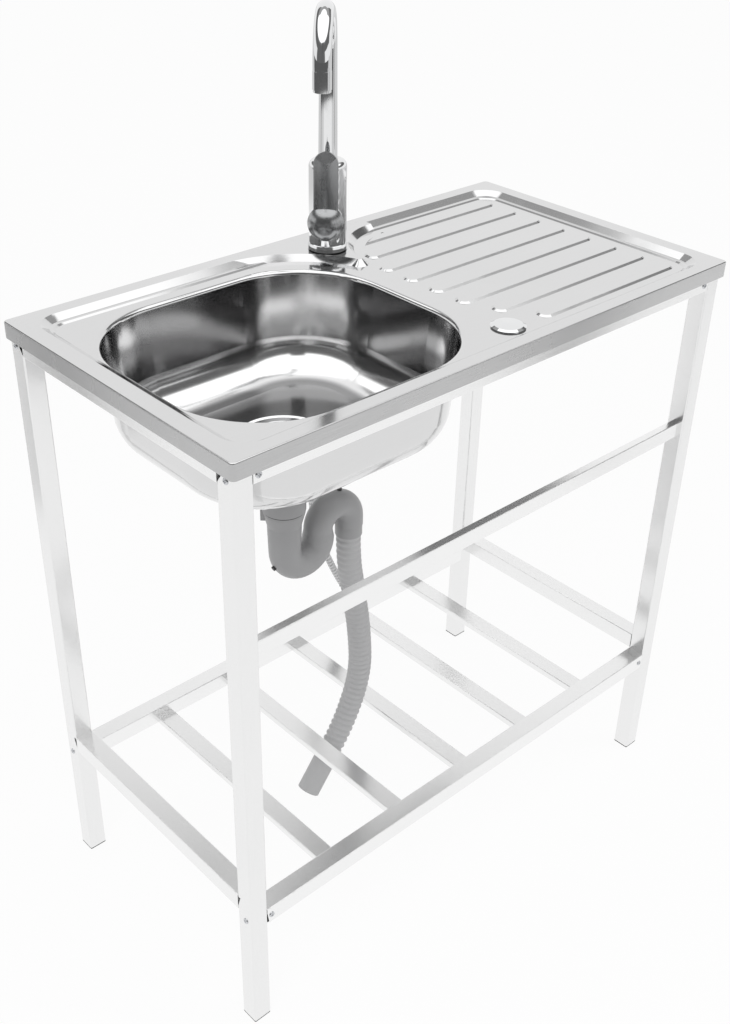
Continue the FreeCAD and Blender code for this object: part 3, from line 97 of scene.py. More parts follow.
# %% A socket that can be added and multiplied
class Wire:
    """One socket of a node tree. Sums on it add Math nodes to the same tree."""

    def __init__(self, tree, socket=None):
        self.tree = tree
        self.socket = socket

    def node(self, kind, settings=None, sockets=None, output=0):
        """Adds a node: first its settings, then the values or links of its sockets."""
        made = self.tree.nodes.new(kind)
        for name, value in (settings or {}).items():
            setattr(made, name, value)
        for name, value in (sockets or {}).items():
            self.feed(made.inputs[name], value)
        return Wire(self.tree, made.outputs[output])

    def feed(self, target, value):
        if isinstance(value, Wire):
            self.tree.links.new(value.socket, target)
        else:
            target.default_value = value

    def math(self, operation, *values):
        return self.node("ShaderNodeMath", {"operation": operation}, dict(enumerate(values)))

    def __add__(self, other):
        return self.math("ADD", self, other)

    def __sub__(self, other):
        return self.math("SUBTRACT", self, other)

    def __rsub__(self, other):
        return self.math("SUBTRACT", other, self)

    def __mul__(self, other):
        return self.math("MULTIPLY", self, other)

    def __truediv__(self, other):
        return self.math("DIVIDE", self, other)

    def __gt__(self, other):
        return self.math("GREATER_THAN", self, other)

    def __lt__(self, other):
        return self.math("LESS_THAN", self, other)

    __radd__ = __add__
    __rmul__ = __mul__


def soft_step(wire, value, low, high):
    """0 below low, 1 above high, and a soft rise between."""
    return wire.node("ShaderNodeMapRange", {"interpolation_type": "SMOOTHSTEP"},
                     {"Value": value, "From Min": low, "From Max": high})

# %% [markdown]
# ## Hoses as smooth lines
#
# A hose has a real length, so its middle line comes first and its skin follows. The points are the ones
# that a hose passes near on its way down. They could be joined straight and rounded at the corners, but a
# real hose bends a little everywhere, so a smooth curve is drawn past them in the next step.

# %% The three routes
drain_route = (
    (-0.0707, -0.0115, 0.5127), (-0.0707, -0.0115, 0.472), (-0.0575, -0.0095, 0.410), (-0.042, -0.006, 0.330),
    (-0.0335, -0.0005, 0.250), (-0.058, 0.004, 0.172), (-0.093, 0.005, 0.121), (-0.128, 0.005, 0.0755),
)
cold_route = (
    (0.0315, 0.1601, 0.766), (0.0315, 0.1601, 0.700), (0.023, 0.163, 0.600), (0.017, 0.1685, 0.500),
    (0.022, 0.172, 0.420), (0.042, 0.172, 0.350), (0.066, 0.1725, 0.292), (0.084, 0.173, 0.258),
)
hot_route = (
    (0.0421, 0.1495, 0.766), (0.0421, 0.1495, 0.700), (0.038, 0.160, 0.598), (0.031, 0.1765, 0.492),
    (0.034, 0.185, 0.409), (0.056, 0.187, 0.337), (0.0825, 0.190, 0.2767), (0.1005, 0.1905, 0.2427),
)
print("points on each route:", len(drain_route), len(cold_route), len(hot_route))

# %% [markdown]
# ### From points to a line
#
# The line is a NURBS curve of order 3 that starts and ends at its first and last points. A curve with
# handles could be drawn by hand, but this one never kinks, whatever the points are, as a hose of fixed
# stiffness never does. Its length is read back from the curve itself.

# %% Draw and measure a smooth line
line_steps = 24


def smooth_line(name, route):
    """A curve of order 3 whose control points are the route."""
    curve = bpy.data.curves.new(name, "CURVE")
    curve.dimensions = "3D"
    curve.resolution_u = line_steps
    spline = curve.splines.new("NURBS")
    spline.points.add(len(route) - 1)
    for point, place in zip(spline.points, route):
        point.co = (*place, 1.0)
    spline.order_u = 3
    spline.use_endpoint_u = True
    line = bpy.data.objects.new(name, curve)
    bpy.context.scene.collection.objects.link(line)
    return line


def line_points(line):
    """The points along a smooth line, read from the curve itself."""
    mesh = bpy.data.meshes.new_from_object(line.evaluated_get(bpy.context.evaluated_depsgraph_get()))
    points = [vertex.co.copy() for vertex in mesh.vertices]
    bpy.data.meshes.remove(mesh)
    return points


def line_length(points):
    """The length of a line, step by step."""
    return sum((after - before).length for before, after in zip(points, points[1:]))

# %% [markdown]
# ## Trees with named sizes
#
# The hoses and the screws are each grown by a Geometry Nodes tree. The sizes could be typed into its nodes,
# but as named inputs they let one tree make several pieces. Both trees start with their inputs, and end in
# real geometry with its material, so these two steps are written once.

# %% Start and end a tree
def start_tree(name, lengths, counts=()):
    """A tree with named inputs for its sizes. Returns its wiring and its inputs by name."""
    tree = bpy.data.node_groups.new(name, "GeometryNodeTree")
    tree.interface.new_socket("Geometry", in_out="INPUT", socket_type="NodeSocketGeometry")
    for word in lengths:
        tree.interface.new_socket(word, in_out="INPUT", socket_type="NodeSocketFloat")
    for word in counts:
        tree.interface.new_socket(word, in_out="INPUT", socket_type="NodeSocketInt")
    tree.interface.new_socket("Material", in_out="INPUT", socket_type="NodeSocketMaterial")
    tree.interface.new_socket("Geometry", in_out="OUTPUT", socket_type="NodeSocketGeometry")
    given = tree.nodes.new("NodeGroupInput")
    return Wire(tree), {socket.name: Wire(tree, socket) for socket in given.outputs if socket.name}


def end_tree(wire, shape, material):
    """Makes instances real, shades them smooth, gives them the material and ends the tree."""
    shape = wire.node("GeometryNodeRealizeInstances", None, {"Geometry": shape})
    shape = wire.node("GeometryNodeSetShadeSmooth", None, {"Geometry": shape})
    shape = wire.node("GeometryNodeSetMaterial", None, {"Geometry": shape, "Material": material})
    wire.feed(wire.tree.nodes.new("NodeGroupOutput").inputs[0], shape)
    return wire.tree

# %% [markdown]
# ## One tree that turns a line into a hose
#
# A ribbed drain hose and a braided supply hose are the same idea: a circle carried along a line. Geometry
# Nodes do that with Curve to Mesh, and the ribs are a wave in the line's radius. Each rib could be a ring
# of its own, but the hose is one skin in reality too. The tree keeps how far along and how far round each
# point lies, so that a material can follow the hose round its bends.

# %% Build the hose tree
rib_steepness = 1.6
rib_softness = 0.4


def woven(wire, along, around_x, around_y, strands, pitch):
    """Height from 0 to 1 of strands that wind both ways round a hose and cross over and under."""
    turn = wire.math("ARCTAN2", around_y, around_x) * strands
    climb = along / pitch * (2 * math.pi)
    return wire.math("SINE", turn + climb) * wire.math("SINE", turn - climb) * 0.5 + 0.5


def hose_tree():
    """A ribbed or braided skin along a curve, in steps of a given length."""
    lengths = ("Radius", "Step", "Rib Height", "Rib Pitch", "Plain Start", "Plain End", "Braid Height",
               "Braid Pitch")
    wire, size = start_tree("hose along a line", lengths, counts=("Sides", "Strands"))
    line = wire.node("GeometryNodeResampleCurve", {"mode": "LENGTH"},
                     {"Curve": size["Geometry"], "Length": size["Step"]})
    along = wire.node("GeometryNodeSplineParameter", output="Length")
    whole = wire.node("GeometryNodeSplineLength", output="Length")
    turn = (along - size["Plain Start"]) / size["Rib Pitch"] * (2 * math.pi)
    wave = wire.math("SINE", turn - math.pi / 2) * rib_steepness
    crest = wire.math("SMOOTH_MAX", wave, -1.0, rib_softness)
    crest = wire.math("SMOOTH_MIN", crest, 1.0, rib_softness)
    ribbed = (along > size["Plain Start"]) * (whole - size["Plain End"] > along)
    radius = size["Radius"] - size["Rib Height"] * (0.5 - 0.5 * crest) * ribbed
    line = wire.node("GeometryNodeStoreNamedAttribute", {"data_type": "FLOAT", "domain": "POINT"},
                     {"Geometry": line, "Name": "along", "Value": along})
    line = wire.node("GeometryNodeSetCurveRadius", None, {"Curve": line, "Radius": radius})
    circle = wire.node("GeometryNodeCurvePrimitiveCircle", {"mode": "RADIUS"},
                       {"Resolution": size["Sides"], "Radius": 1.0})
    around = wire.node("GeometryNodeSplineParameter", output="Factor") * (2 * math.pi)
    for name, value in (("around_x", wire.math("COSINE", around)), ("around_y", wire.math("SINE", around))):
        circle = wire.node("GeometryNodeStoreNamedAttribute", {"data_type": "FLOAT", "domain": "POINT"},
                           {"Geometry": circle, "Name": name, "Value": value})
    skin = wire.node("GeometryNodeCurveToMesh", None,
                     {"Curve": line, "Profile Curve": circle, "Scale": wire.node("GeometryNodeInputRadius")})
    along, around_x, around_y = [
        wire.node("GeometryNodeInputNamedAttribute", {"data_type": "FLOAT"}, {"Name": name})
        for name in ("along", "around_x", "around_y")]
    weave = woven(wire, along, around_x, around_y, size["Strands"], size["Braid Pitch"])
    push = wire.node("ShaderNodeVectorMath", {"operation": "SCALE"},
                     {0: wire.node("GeometryNodeInputNormal"), "Scale": size["Braid Height"] * (weave - 1.0)})
    skin = wire.node("GeometryNodeSetPosition", None, {"Geometry": skin, "Offset": push})
    return end_tree(wire, skin, size["Material"])


hose_nodes = hose_tree()
print("nodes in the hose tree:", len(hose_nodes.nodes))

# %% [markdown]
# ## From a tree to a plain mesh
#
# A tree could stay on its object as a live modifier. It is turned into a plain mesh here, because the
# finished model is handed on as meshes, and because a plain mesh can be measured.

# %% Run a tree
def grown_mesh(source, tree, name, sizes):
    """Runs a tree on an object and returns a plain mesh object of the result."""
    modifier = source.modifiers.new("grow", "NODES")
    modifier.node_group = tree
    for socket in tree.interface.items_tree:
        if socket.in_out == "INPUT" and socket.name in sizes:
            modifier[socket.identifier] = sizes[socket.name]
    mesh = bpy.data.meshes.new_from_object(source.evaluated_get(bpy.context.evaluated_depsgraph_get()))
    source.modifiers.remove(modifier)
    piece = bpy.data.objects.new(name, mesh)
    bpy.context.scene.collection.objects.link(piece)
    print(name, "triangles:", sum(len(face.vertices) - 2 for face in mesh.polygons))
    return piece

# %% [markdown]
# ## Screw heads
#
# Sixteen screws hold the frame together. Each has a low round head with a cross pressed into it. A flat
# grid can be rolled into such a head: one side of the grid becomes the radius, the other the turn, and a
# formula lifts the dome and sinks the cross. The head is made once and put on every spot, turned the way
# that the tube's face looks.

# %% Build the screw tree
rings_in_head = 34
steps_round_head = 73
dome_share = 0.8
dome_flatness = 0.84
slot_edge = 0.00025
slot_end = 0.0004
weld_distance = 0.00001
shank_sides = 16


def screw_tree():
    """A screw with a cross in its head on every spot, with its head the way that the spot looks."""
    wire, size = start_tree("screws on spots", ("Head Radius", "Head Height", "Slot Width", "Slot Length",
                                                "Slot Depth", "Shank Radius", "Shank Length"))
    grid = wire.node("GeometryNodeMeshGrid", None,
                     {"Size X": 1.0, "Size Y": 1.0,
                      "Vertices X": rings_in_head, "Vertices Y": steps_round_head})
    parts = wire.node("ShaderNodeSeparateXYZ", None, {0: wire.node("GeometryNodeInputPosition")})
    outward = Wire(wire.tree, parts.socket.node.outputs["X"]) + 0.5
    turn = (Wire(wire.tree, parts.socket.node.outputs["Y"]) + 0.5) * (2 * math.pi)
    radius = wire.math("MINIMUM", outward * (1 / dome_share), 1.0)
    across = radius * size["Head Radius"] * wire.math("COSINE", turn)
    upward = radius * size["Head Radius"] * wire.math("SINE", turn)
    dome = wire.math("SQRT", wire.math("MAXIMUM", 1.0 - radius * radius * dome_flatness, 0.0))
    wall = wire.math("MAXIMUM", (outward - dome_share) * (1 / (1 - dome_share)), 0.0)
    arms = wire.math("MINIMUM", wire.math("ABSOLUTE", across), wire.math("ABSOLUTE", upward))
    inside = soft_step(wire, size["Slot Width"] - arms, 0.0, slot_edge)
    reach = soft_step(wire, size["Slot Length"] - radius * size["Head Radius"], 0.0, slot_end)
    height = size["Head Height"] * dome * (1.0 - wall) - size["Slot Depth"] * inside * reach
    place = wire.node("ShaderNodeCombineXYZ", None, {0: across, 1: upward, 2: height})
    head = wire.node("GeometryNodeSetPosition", None, {"Geometry": grid, "Position": place})
    head = wire.node("GeometryNodeMergeByDistance", None, {"Geometry": head, "Distance": weld_distance})
    shank = wire.node("GeometryNodeMeshCylinder", None,
                      {"Vertices": shank_sides,
                       "Radius": size["Shank Radius"], "Depth": size["Shank Length"]})
    middle = wire.node("ShaderNodeCombineXYZ", None, {2: size["Shank Length"] * -0.5})
    shank = wire.node("GeometryNodeTransform", None, {"Geometry": shank, "Translation": middle})
    joined = wire.node("GeometryNodeJoinGeometry", None, {0: head})
    wire.tree.links.new(shank.socket, joined.socket.node.inputs[0])
    facing = wire.node("GeometryNodeInputNamedAttribute", {"data_type": "FLOAT_VECTOR"}, {"Name": "facing"})
    turned = wire.node("FunctionNodeAlignRotationToVector", {"axis": "Z"}, {"Vector": facing})
    screws = wire.node("GeometryNodeInstanceOnPoints", None,
                       {"Points": size["Geometry"], "Instance": joined, "Rotation": turned})
    return end_tree(wire, screws, size["Material"])


screw_nodes = screw_tree()
print("nodes in the screw tree:", len(screw_nodes.nodes))

# %% [markdown]
# ## Finishes
#
# Every finish is a colour, a roughness and a little relief, each with the slow drift and the fine grain
# that real surfaces have. A photograph could be laid on instead, but noise has no seams and no light of its
# own in it. A base colour that is written as a number is what the surface sends back under plain white
# light.

# %% Words for finishes
blue_trace = 0.002


def start_finish(name, metallic=1.0):
    """A new material, its wiring and its shader."""
    material = bpy.data.materials.new(name)
    material.use_nodes = True
    shader = material.node_tree.nodes["Principled BSDF"]
    shader.inputs["Metallic"].default_value = metallic
    return material, Wire(material.node_tree), shader


def object_point(wire, stretch=(1.0, 1.0, 1.0)):
    """A point of the piece in the frame's own axes, stretched to draw a pattern out."""
    place = wire.node("ShaderNodeTexCoord", output="Object")
    return wire.node("ShaderNodeMapping", None, {"Vector": place, "Scale": stretch})


def object_parts(wire, source="Object"):
    """The x, y and z of a point or of a direction, in the frame's own axes."""
    parts = wire.node("ShaderNodeSeparateXYZ", None, {0: wire.node("ShaderNodeTexCoord", output=source)})
    return [Wire(wire.tree, parts.socket.node.outputs[axis]) for axis in "XYZ"]


def grain(wire, point, scale, detail=3.0):
    """Noise between 0 and 1."""
    return wire.node("ShaderNodeTexNoise", None, {"Vector": point, "Scale": scale, "Detail": detail})


def tint(wire, shade, dark, light):
    """A colour between two, by a shade from 0 to 1."""
    return wire.node("ShaderNodeMix", {"data_type": "RGBA"},
                     {"Factor": shade, 6: (*dark, 1.0), 7: (*light, 1.0)}, output=2)


def relief(wire, height, strength, distance):
    """Fine relief from a height between 0 and 1."""
    return wire.node("ShaderNodeBump", None, {"Height": height, "Strength": strength, "Distance": distance})


def grey_tint(wire, shade, levels):
    """Bare steel between two greys, each with a trace of blue."""
    dark, light = [(level, level, level + blue_trace) for level in levels]
    return tint(wire, shade, dark, light)

# %% [markdown]
# ## Tubes, plating and small metal parts
#
# The frame is drawn tube with a satin skin, and its marks run along it. A pattern that follows each tube
# could be unwrapped piece by piece, but the tubes lie along x, y or z, so one grain that is stretched along
# that axis does. Their tone is painted light: lightest along x, then y, darkest along z. The tap is plated:
# nearly a mirror with a few wiped marks, and its lever has a satin skin painted darker as shade.

# %% Steel, chrome and brass
tube_drift = 0.03
wiped_dulling = 0.05
fine_mark = 0.0002


def steel_finish(name, dark, light, roughness, spread, brush, marks):
    """Satin or bright metal: fine grain along one direction and a slow drift in its shine."""
    material, wire, shader = start_finish(name)
    drift = grain(wire, object_point(wire), 6.0)
    lines = grain(wire, object_point(wire, brush), 1.0, 2.0)
    wire.feed(shader.inputs["Base Color"], tint(wire, drift * 0.6 + lines * 0.4, dark, light))
    wire.feed(shader.inputs["Roughness"], roughness + (drift - 0.5) * spread + (lines - 0.5) * spread)
    wire.feed(shader.inputs["Normal"], relief(wire, lines, marks, fine_mark))
    return material


def tube_finish(name, brush, shade):
    """Satin square tube with the fine marks of its drawing along it."""
    return steel_finish(name, dark=(shade - tube_drift,) * 3, light=(shade + tube_drift,) * 3,
                        roughness=0.22, spread=0.06, brush=brush, marks=0.0)


def chrome_finish(name, shade, roughness):
    """Plating, bright or satin, with the faintest drift and a few wiped marks."""
    material, wire, shader = start_finish(name)
    drift = grain(wire, object_point(wire), 30.0)
    wiped = soft_step(wire, grain(wire, object_point(wire, (1.0, 1.0, 0.4)), 60.0, 4.0), 0.5, 0.75)
    dark = (shade - 0.02, shade - 0.015, shade - 0.01)
    light = (shade + 0.02, shade + 0.025, shade + 0.03)
    wire.feed(shader.inputs["Base Color"], tint(wire, drift, dark, light))
    wire.feed(shader.inputs["Roughness"], roughness + wiped * wiped_dulling)
    return material


finishes = {
    "chrome": chrome_finish("chrome", shade=0.78, roughness=0.035),
    "inner_brass": steel_finish("inner_brass", dark=(0.66, 0.50, 0.26), light=(0.78, 0.62, 0.34),
                                roughness=0.28, spread=0.08, brush=(300.0, 300.0, 300.0), marks=0.1),
    "zinc_steel": steel_finish("zinc_steel", dark=(0.56, 0.57, 0.59), light=(0.70, 0.71, 0.73),
                               roughness=0.26, spread=0.1, brush=(400.0, 400.0, 400.0), marks=0.1),
}
# The lever's plating is painted darker than the tap's, as painted shade.
shaded_satin_chrome = chrome_finish("shaded_satin_chrome", shade=0.38, roughness=0.25)
# The tubes differ in tone only as painted light: lightest along x, then along y, darkest along z.
lit_tube_finishes = [tube_finish("frame_steel_x", brush=(30.0, 700.0, 700.0), shade=0.88),
                 tube_finish("frame_steel_y", brush=(700.0, 30.0, 700.0), shade=0.86),
                 tube_finish("frame_steel_z", brush=(700.0, 700.0, 30.0), shade=0.84)]
print("metal finishes:", len(finishes) + len(lit_tube_finishes) + 1)

# %% [markdown]
# ## The pressed sheet
#
# The worktop is one sheet whose faces were treated in different ways: polished on top, dull on the folded
# edge, brushed in the bowl, and darker underneath. Each could be a material of its own. One material with
# masks is used, because every mask follows from where a point lies and how it faces. Its colour also holds
# painted light: the folded edge is painted darker as shade, and the bowl is painted dark on its walls as
# shade and lighter in its corners and at its foot as highlights.

# %% Where each skin of the sheet lies
edge_fold = 0.0032
under_depth = 0.030
mouth_depth = 0.010
mouth_blur = 0.004
# How a point in the bowl faces, for its painted shade and highlights.
corner_turns = (0.12, 0.30)
flat_turns = (0.93, 0.99)
foot_turns = (0.25, 0.45)


def sheet_places(wire, low, high):
    """Where the sheet is folded edge, underside or bowl: a mask from 0 to 1 for each."""
    x, y, z = object_parts(wire)
    normal_z = object_parts(wire, "Normal")[2]
    to_side = wire.math("ABSOLUTE", x) - (high[0] - edge_fold)
    to_front = wire.math("ABSOLUTE", y) - (high[1] - edge_fold)
    edge = (wire.math("MAXIMUM", to_side, to_front) > 0.0) * (0.5 > normal_z)
    under = (-0.2 > normal_z) * (z > high[2] - under_depth) * (1.0 - edge)
    bowl = soft_step(wire, high[2] - mouth_depth - z, 0.0, mouth_blur) * (normal_z > 0.0)
    return edge, under, bowl


def bowl_painted_light(wire):
    """Painted shade and highlights in the bowl by how a point faces: darkest on its walls, lighter in its
    corners, lightest at its foot.
    """
    normal_x, normal_y, normal_z = object_parts(wire, "Normal")
    corner = soft_step(wire, wire.math("ABSOLUTE", normal_x * normal_y), *corner_turns)
    flat = soft_step(wire, normal_z, *flat_turns)
    foot = soft_step(wire, normal_z, *foot_turns) * (1.0 - flat)
    return wire.math("MAXIMUM", corner * 0.62, foot * 0.85)

# %% [markdown]
# ### Its colours and its shine
#
# Polished steel is never even: it drifts slowly, has fine marks along the sheet, and is smudged where hands
# were. Pictures of scratches could be laid over it. Noise at three sizes is enough here, and a very low
# wave in the surface bends the reflections as a pressed sheet does.

# %% The worktop's finish
polished_greys = (0.66, 0.72)
# The folded edge's greys are darker than the polished ones: painted shade.
folded_shade_greys = (0.42, 0.70)
underside_greys = (0.24, 0.29)
# The bowl's greys run from painted shade on its walls to painted highlights in its corners and foot.
bowl_painted_greys = (0.28, 0.84)
along_sheet = (30.0, 900.0, 900.0)
smudge_stretch = (1.0, 1.6, 1.0)
wave_stretch = (1.0, 1.0, 0.3)
wave_height = 0.0007
polished_roughness = 0.105
bowl_dulling = 0.03
edge_dulling = 0.16
under_dulling = 0.45


def pressed_finish(name):
    """Polished above, duller and painted darker as shade on the folded edge, brushed in the bowl with painted
    shade and highlights, and darker under the flat part.
    """
    material, wire, shader = start_finish(name)
    low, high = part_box("sink_top")
    edge, under, bowl = sheet_places(wire, low, high)
    drift = grain(wire, object_point(wire), 5.0)
    lines = grain(wire, object_point(wire, along_sheet), 1.0, 2.0)
    smudge = soft_step(wire, grain(wire, object_point(wire, smudge_stretch), 14.0, 4.0), 0.52, 0.72)
    # The folded edge's colour is painted shade over its grain, darker still towards the left.
    grain_darker_left = drift * 0.3 + lines * 0.3 + soft_step(wire, object_parts(wire)[0], low[0], high[0]) * 0.4
    folded = grey_tint(wire, grain_darker_left, folded_shade_greys)
    # The flat part is darker grey underneath.
    underside_tone = grey_tint(wire, drift, underside_greys)
    # The bowl's colour is its brushed grain with painted shade on its walls and painted highlights in its
    # corners and foot.
    brushed = grey_tint(wire, bowl_painted_light(wire) + (drift + lines) * 0.06, bowl_painted_greys)
    shade = grey_tint(wire, drift * 0.6 + lines * 0.4, polished_greys)
    for mask, colour in ((bowl, brushed), (edge, folded), (under, underside_tone)):
        shade = wire.node("ShaderNodeMix", {"data_type": "RGBA"}, {"Factor": mask, 6: shade, 7: colour},
                          output=2)
    wire.feed(shader.inputs["Base Color"], shade)
    gloss = polished_roughness + (drift - 0.5) * 0.03 + (lines - 0.5) * 0.03 + smudge * 0.05
    dulling = bowl * bowl_dulling + edge * edge_dulling + under * under_dulling
    wire.feed(shader.inputs["Roughness"], gloss + dulling)
    waves = grain(wire, object_point(wire, wave_stretch), 11.0, 1.0)
    wire.feed(shader.inputs["Normal"], relief(wire, waves, 0.5, wave_height))
    return material


finishes["worktop_steel"] = pressed_finish("worktop_steel")
print("finishes with the worktop's:", len(finishes))

# %% [markdown]
# ## Braid
#
# The supply hoses wear a braid of bright wire. Every wire could be a thin tube, but that is thousands of
# tubes. The strands are real relief from the hose tree instead, and the finish reads the same places on the
# hose to paint shade where they dip and to draw the single wires.

# %% Bright braid
braid_strands = 6
braid_pitch = 0.014
wires_in_strand = 4
# The grey where the strands dip is painted shade.
dip_shade_grey = (0.07, 0.07, 0.072)
wire_grey = (0.62, 0.62, 0.625)


def braid_finish(name):
    """Bright wire wound both ways round the hose: painted shade where strands dip, fine wires along them."""
    material, wire, shader = start_finish(name)
    places = [wire.node("ShaderNodeAttribute", {"attribute_name": word}, output="Fac")
              for word in ("along", "around_x", "around_y")]
    weave = woven(wire, *places, braid_strands, braid_pitch)
    wires = woven(wire, *places, braid_strands * wires_in_strand, braid_pitch / wires_in_strand)
    # Where the strands dip, the colour is painted shade.
    dip = soft_step(wire, weave, 0.05, 0.55)
    wire.feed(shader.inputs["Base Color"], tint(wire, dip * 0.75 + wires * 0.25, dip_shade_grey, wire_grey))
    wire.feed(shader.inputs["Roughness"], 0.30 - dip * 0.10)
    wire.feed(shader.inputs["Normal"], relief(wire, wires, 0.4, fine_mark))
    return material


finishes["braid"] = braid_finish("braid")
print("finishes with the braid:", len(finishes))

# %% [markdown]
# ## Plastic and rubber
#
# The trap, the caps, the drain hose and the seals are moulded. One flat colour would do from afar. Close
# up, plastic shows faint flow marks and the fine texture of its mould, so both are in the finish.

# %% Moulded finishes
mould_speckle = 900.0
mould_height = 0.0001
rubber_speckle = 1400.0
rubber_height = 0.0002
flow_stretch = (1.0, 1.0, 0.35)


def plastic_finish(name, dark, light, roughness, speckle=mould_speckle, height=mould_height):
    """Moulded plastic or rubber: faint flow marks and a fine texture from the mould."""
    material, wire, shader = start_finish(name, metallic=0.0)
    flow = grain(wire, object_point(wire, flow_stretch), 18.0)
    fine = grain(wire, object_point(wire), speckle, 4.0)
    wire.feed(shader.inputs["Base Color"], tint(wire, flow, dark, light))
    wire.feed(shader.inputs["Roughness"], roughness + (fine - 0.5) * 0.12)
    wire.feed(shader.inputs["Normal"], relief(wire, fine, 0.25, height))
    return material


finishes["grey_plastic"] = plastic_finish("grey_plastic", (0.30, 0.30, 0.305), (0.345, 0.345, 0.35), 0.38)
finishes["hose_plastic"] = plastic_finish("hose_plastic", (0.42, 0.42, 0.425), (0.47, 0.47, 0.475), 0.42)
finishes["black_plastic"] = plastic_finish("black_plastic", (0.018, 0.018, 0.018), (0.03, 0.03, 0.03), 0.45)
finishes["white_plastic"] = plastic_finish("white_plastic", (0.76, 0.76, 0.75), (0.84, 0.84, 0.83), 0.35)
finishes["rubber"] = plastic_finish("rubber", (0.02, 0.02, 0.02), (0.035, 0.035, 0.035), 0.7,
                                    rubber_speckle, rubber_height)
print("finishes with the moulded ones:", len(finishes))

# %% [markdown]
# ## A finish for every piece
#
# Each piece says what it is made of, so its finish is looked up by that word, and none has to be picked by
# hand. Two choices need more: a tube's finish depends on the way that it lies, for its grain and for its
# painted light, and the lever is plated like the tap but with a satin skin painted darker as shade.

# %% Put the finishes on
def finish_of(part):
    """The finish of a piece, by what it is made of."""
    if part["node"] == "tap_lever":
        return shaded_satin_chrome
    if part["material_slot"] != "frame_steel":
        return finishes[part["material_slot"]]
    low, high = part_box(part["node"])
    sides = [high[axis] - low[axis] for axis in range(3)]
    return lit_tube_finishes[sides.index(max(sides))]


for part in frame["record"]["subparts"]:
    piece = nodes[part["node"]]
    piece.data.materials.clear()
    piece.data.materials.append(finish_of(part))

# %% [markdown]
# ## Screws on the frame
#
# Eight screws go through the legs into the rails' ends, and eight stand in the rails' faces beside the
# legs. Sixteen places could be typed in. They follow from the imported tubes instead, a fixed way in from an
# edge and down from a rail's top, so they stay right if a tube moves.

# %% Put the screws on their spots
side_screw_from_edge = 0.0105
side_screw_shelf_drop = 0.0095
face_screw_from_leg = 0.0065
face_screw_shelf_drop = 0.013
screw_top_rail_drop = 0.011
side_screw_length = 0.030
face_screw_length = 0.008
screw_sizes = {"Head Radius": 0.0038, "Head Height": 0.0018, "Slot Width": 0.00075, "Slot Length": 0.0026,
               "Slot Depth": 0.0012, "Shank Radius": 0.0019}

leg_low, leg_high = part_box("leg_front_left")
shelf_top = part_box("shelf_rail_front")[1][2]
frame_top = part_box("top_rail_front")[1][2]
leg_outer_x, leg_outer_y, leg_inner_x = -leg_low[0], -leg_low[1], -leg_high[0]


def screw_spots(x, y, drops, faces_side):
    """The spots at all four corners, each with the way that its head looks."""
    spots = []
    for side in (-1.0, 1.0):
        for end in (-1.0, 1.0):
            for top, drop in zip((shelf_top, frame_top), drops):
                facing = (side, 0.0, 0.0) if faces_side else (0.0, end, 0.0)
                spots.append(((side * x, end * y, top - drop), facing))
    return spots


def set_screws(name, spots, length):
    """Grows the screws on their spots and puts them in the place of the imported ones."""
    mesh = bpy.data.meshes.new(name + "_spots")
    mesh.from_pydata([place for place, facing in spots], [], [])
    ways = mesh.attributes.new("facing", "FLOAT_VECTOR", "POINT")
    for value, (place, facing) in zip(ways.data, spots):
        value.vector = facing
    holder = bpy.data.objects.new(name + "_spots", mesh)
    bpy.context.scene.collection.objects.link(holder)
    piece = grown_mesh(holder, screw_nodes, name + "_heads",
                       {**screw_sizes, "Shank Length": length, "Material": finishes["zinc_steel"]})
    bpy.data.objects.remove(holder)
    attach(piece, "unit")
    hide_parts(name)


side_spots = screw_spots(leg_outer_x, leg_outer_y - side_screw_from_edge,
                         (side_screw_shelf_drop, screw_top_rail_drop), True)
face_spots = screw_spots(leg_inner_x - face_screw_from_leg, leg_outer_y,
                         (face_screw_shelf_drop, screw_top_rail_drop), False)
set_screws("side_screws", side_spots, side_screw_length)
set_screws("face_screws", face_spots, face_screw_length)

# %% [markdown]
# ## Hanging the hoses
#
# Each hose is grown along its line. A declared hose is measured at the end, and a wrong number there stops
# the script. Its length could be typed in, but it is read from the line and printed. The drain hose ends
# open, so it also gets a wall.

# %% Grow and hang the hoses
hose_wall = 0.0019


def hang_hose(name, route, sizes, slot):
    line = smooth_line(name + "_line", route)
    points = line_points(line)
    piece = grown_mesh(line, hose_nodes, name + "_skin", {**sizes, "Material": finishes[slot]})
    bpy.data.objects.remove(line)
    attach(piece, "unit")
    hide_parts(name)
    print(name, "length:", round(line_length(points), 4))
    return piece


drain_hose = hang_hose("drain_hose", drain_route,
                       {"Radius": 0.0164, "Rib Height": 0.0019, "Rib Pitch": 0.0093, "Plain Start": 0.006,
                        "Plain End": 0.052, "Step": 0.0012, "Sides": 48, "Braid Height": 0.0,
                        "Braid Pitch": 1.0, "Strands": 1}, "hose_plastic")
wall = drain_hose.modifiers.new("wall", "SOLIDIFY")
wall.thickness = hose_wall
wall.offset = -1.0
supply_sizes = {"Radius": 0.005, "Rib Height": 0.0, "Rib Pitch": 0.01, "Plain Start": 0.0, "Plain End": 0.0,
                "Step": 0.0012, "Sides": 60, "Braid Height": 0.0006, "Braid Pitch": braid_pitch,
                "Strands": braid_strands}
hang_hose("supply_hose_cold", cold_route, supply_sizes, "braid")
hang_hose("supply_hose_hot", hot_route, supply_sizes, "braid")

# %% [markdown]
# ## The studio
#
# Metal shows the room, not itself, so it gets a studio to show. A picture of a real room could be wrapped
# round the scene, but a few plain bands in a formula are easier to move until the right edges show in the
# steel. To the eye the sky is white. To reflections it is a pale wall, a dark gap above it, and light boxes
# overhead.

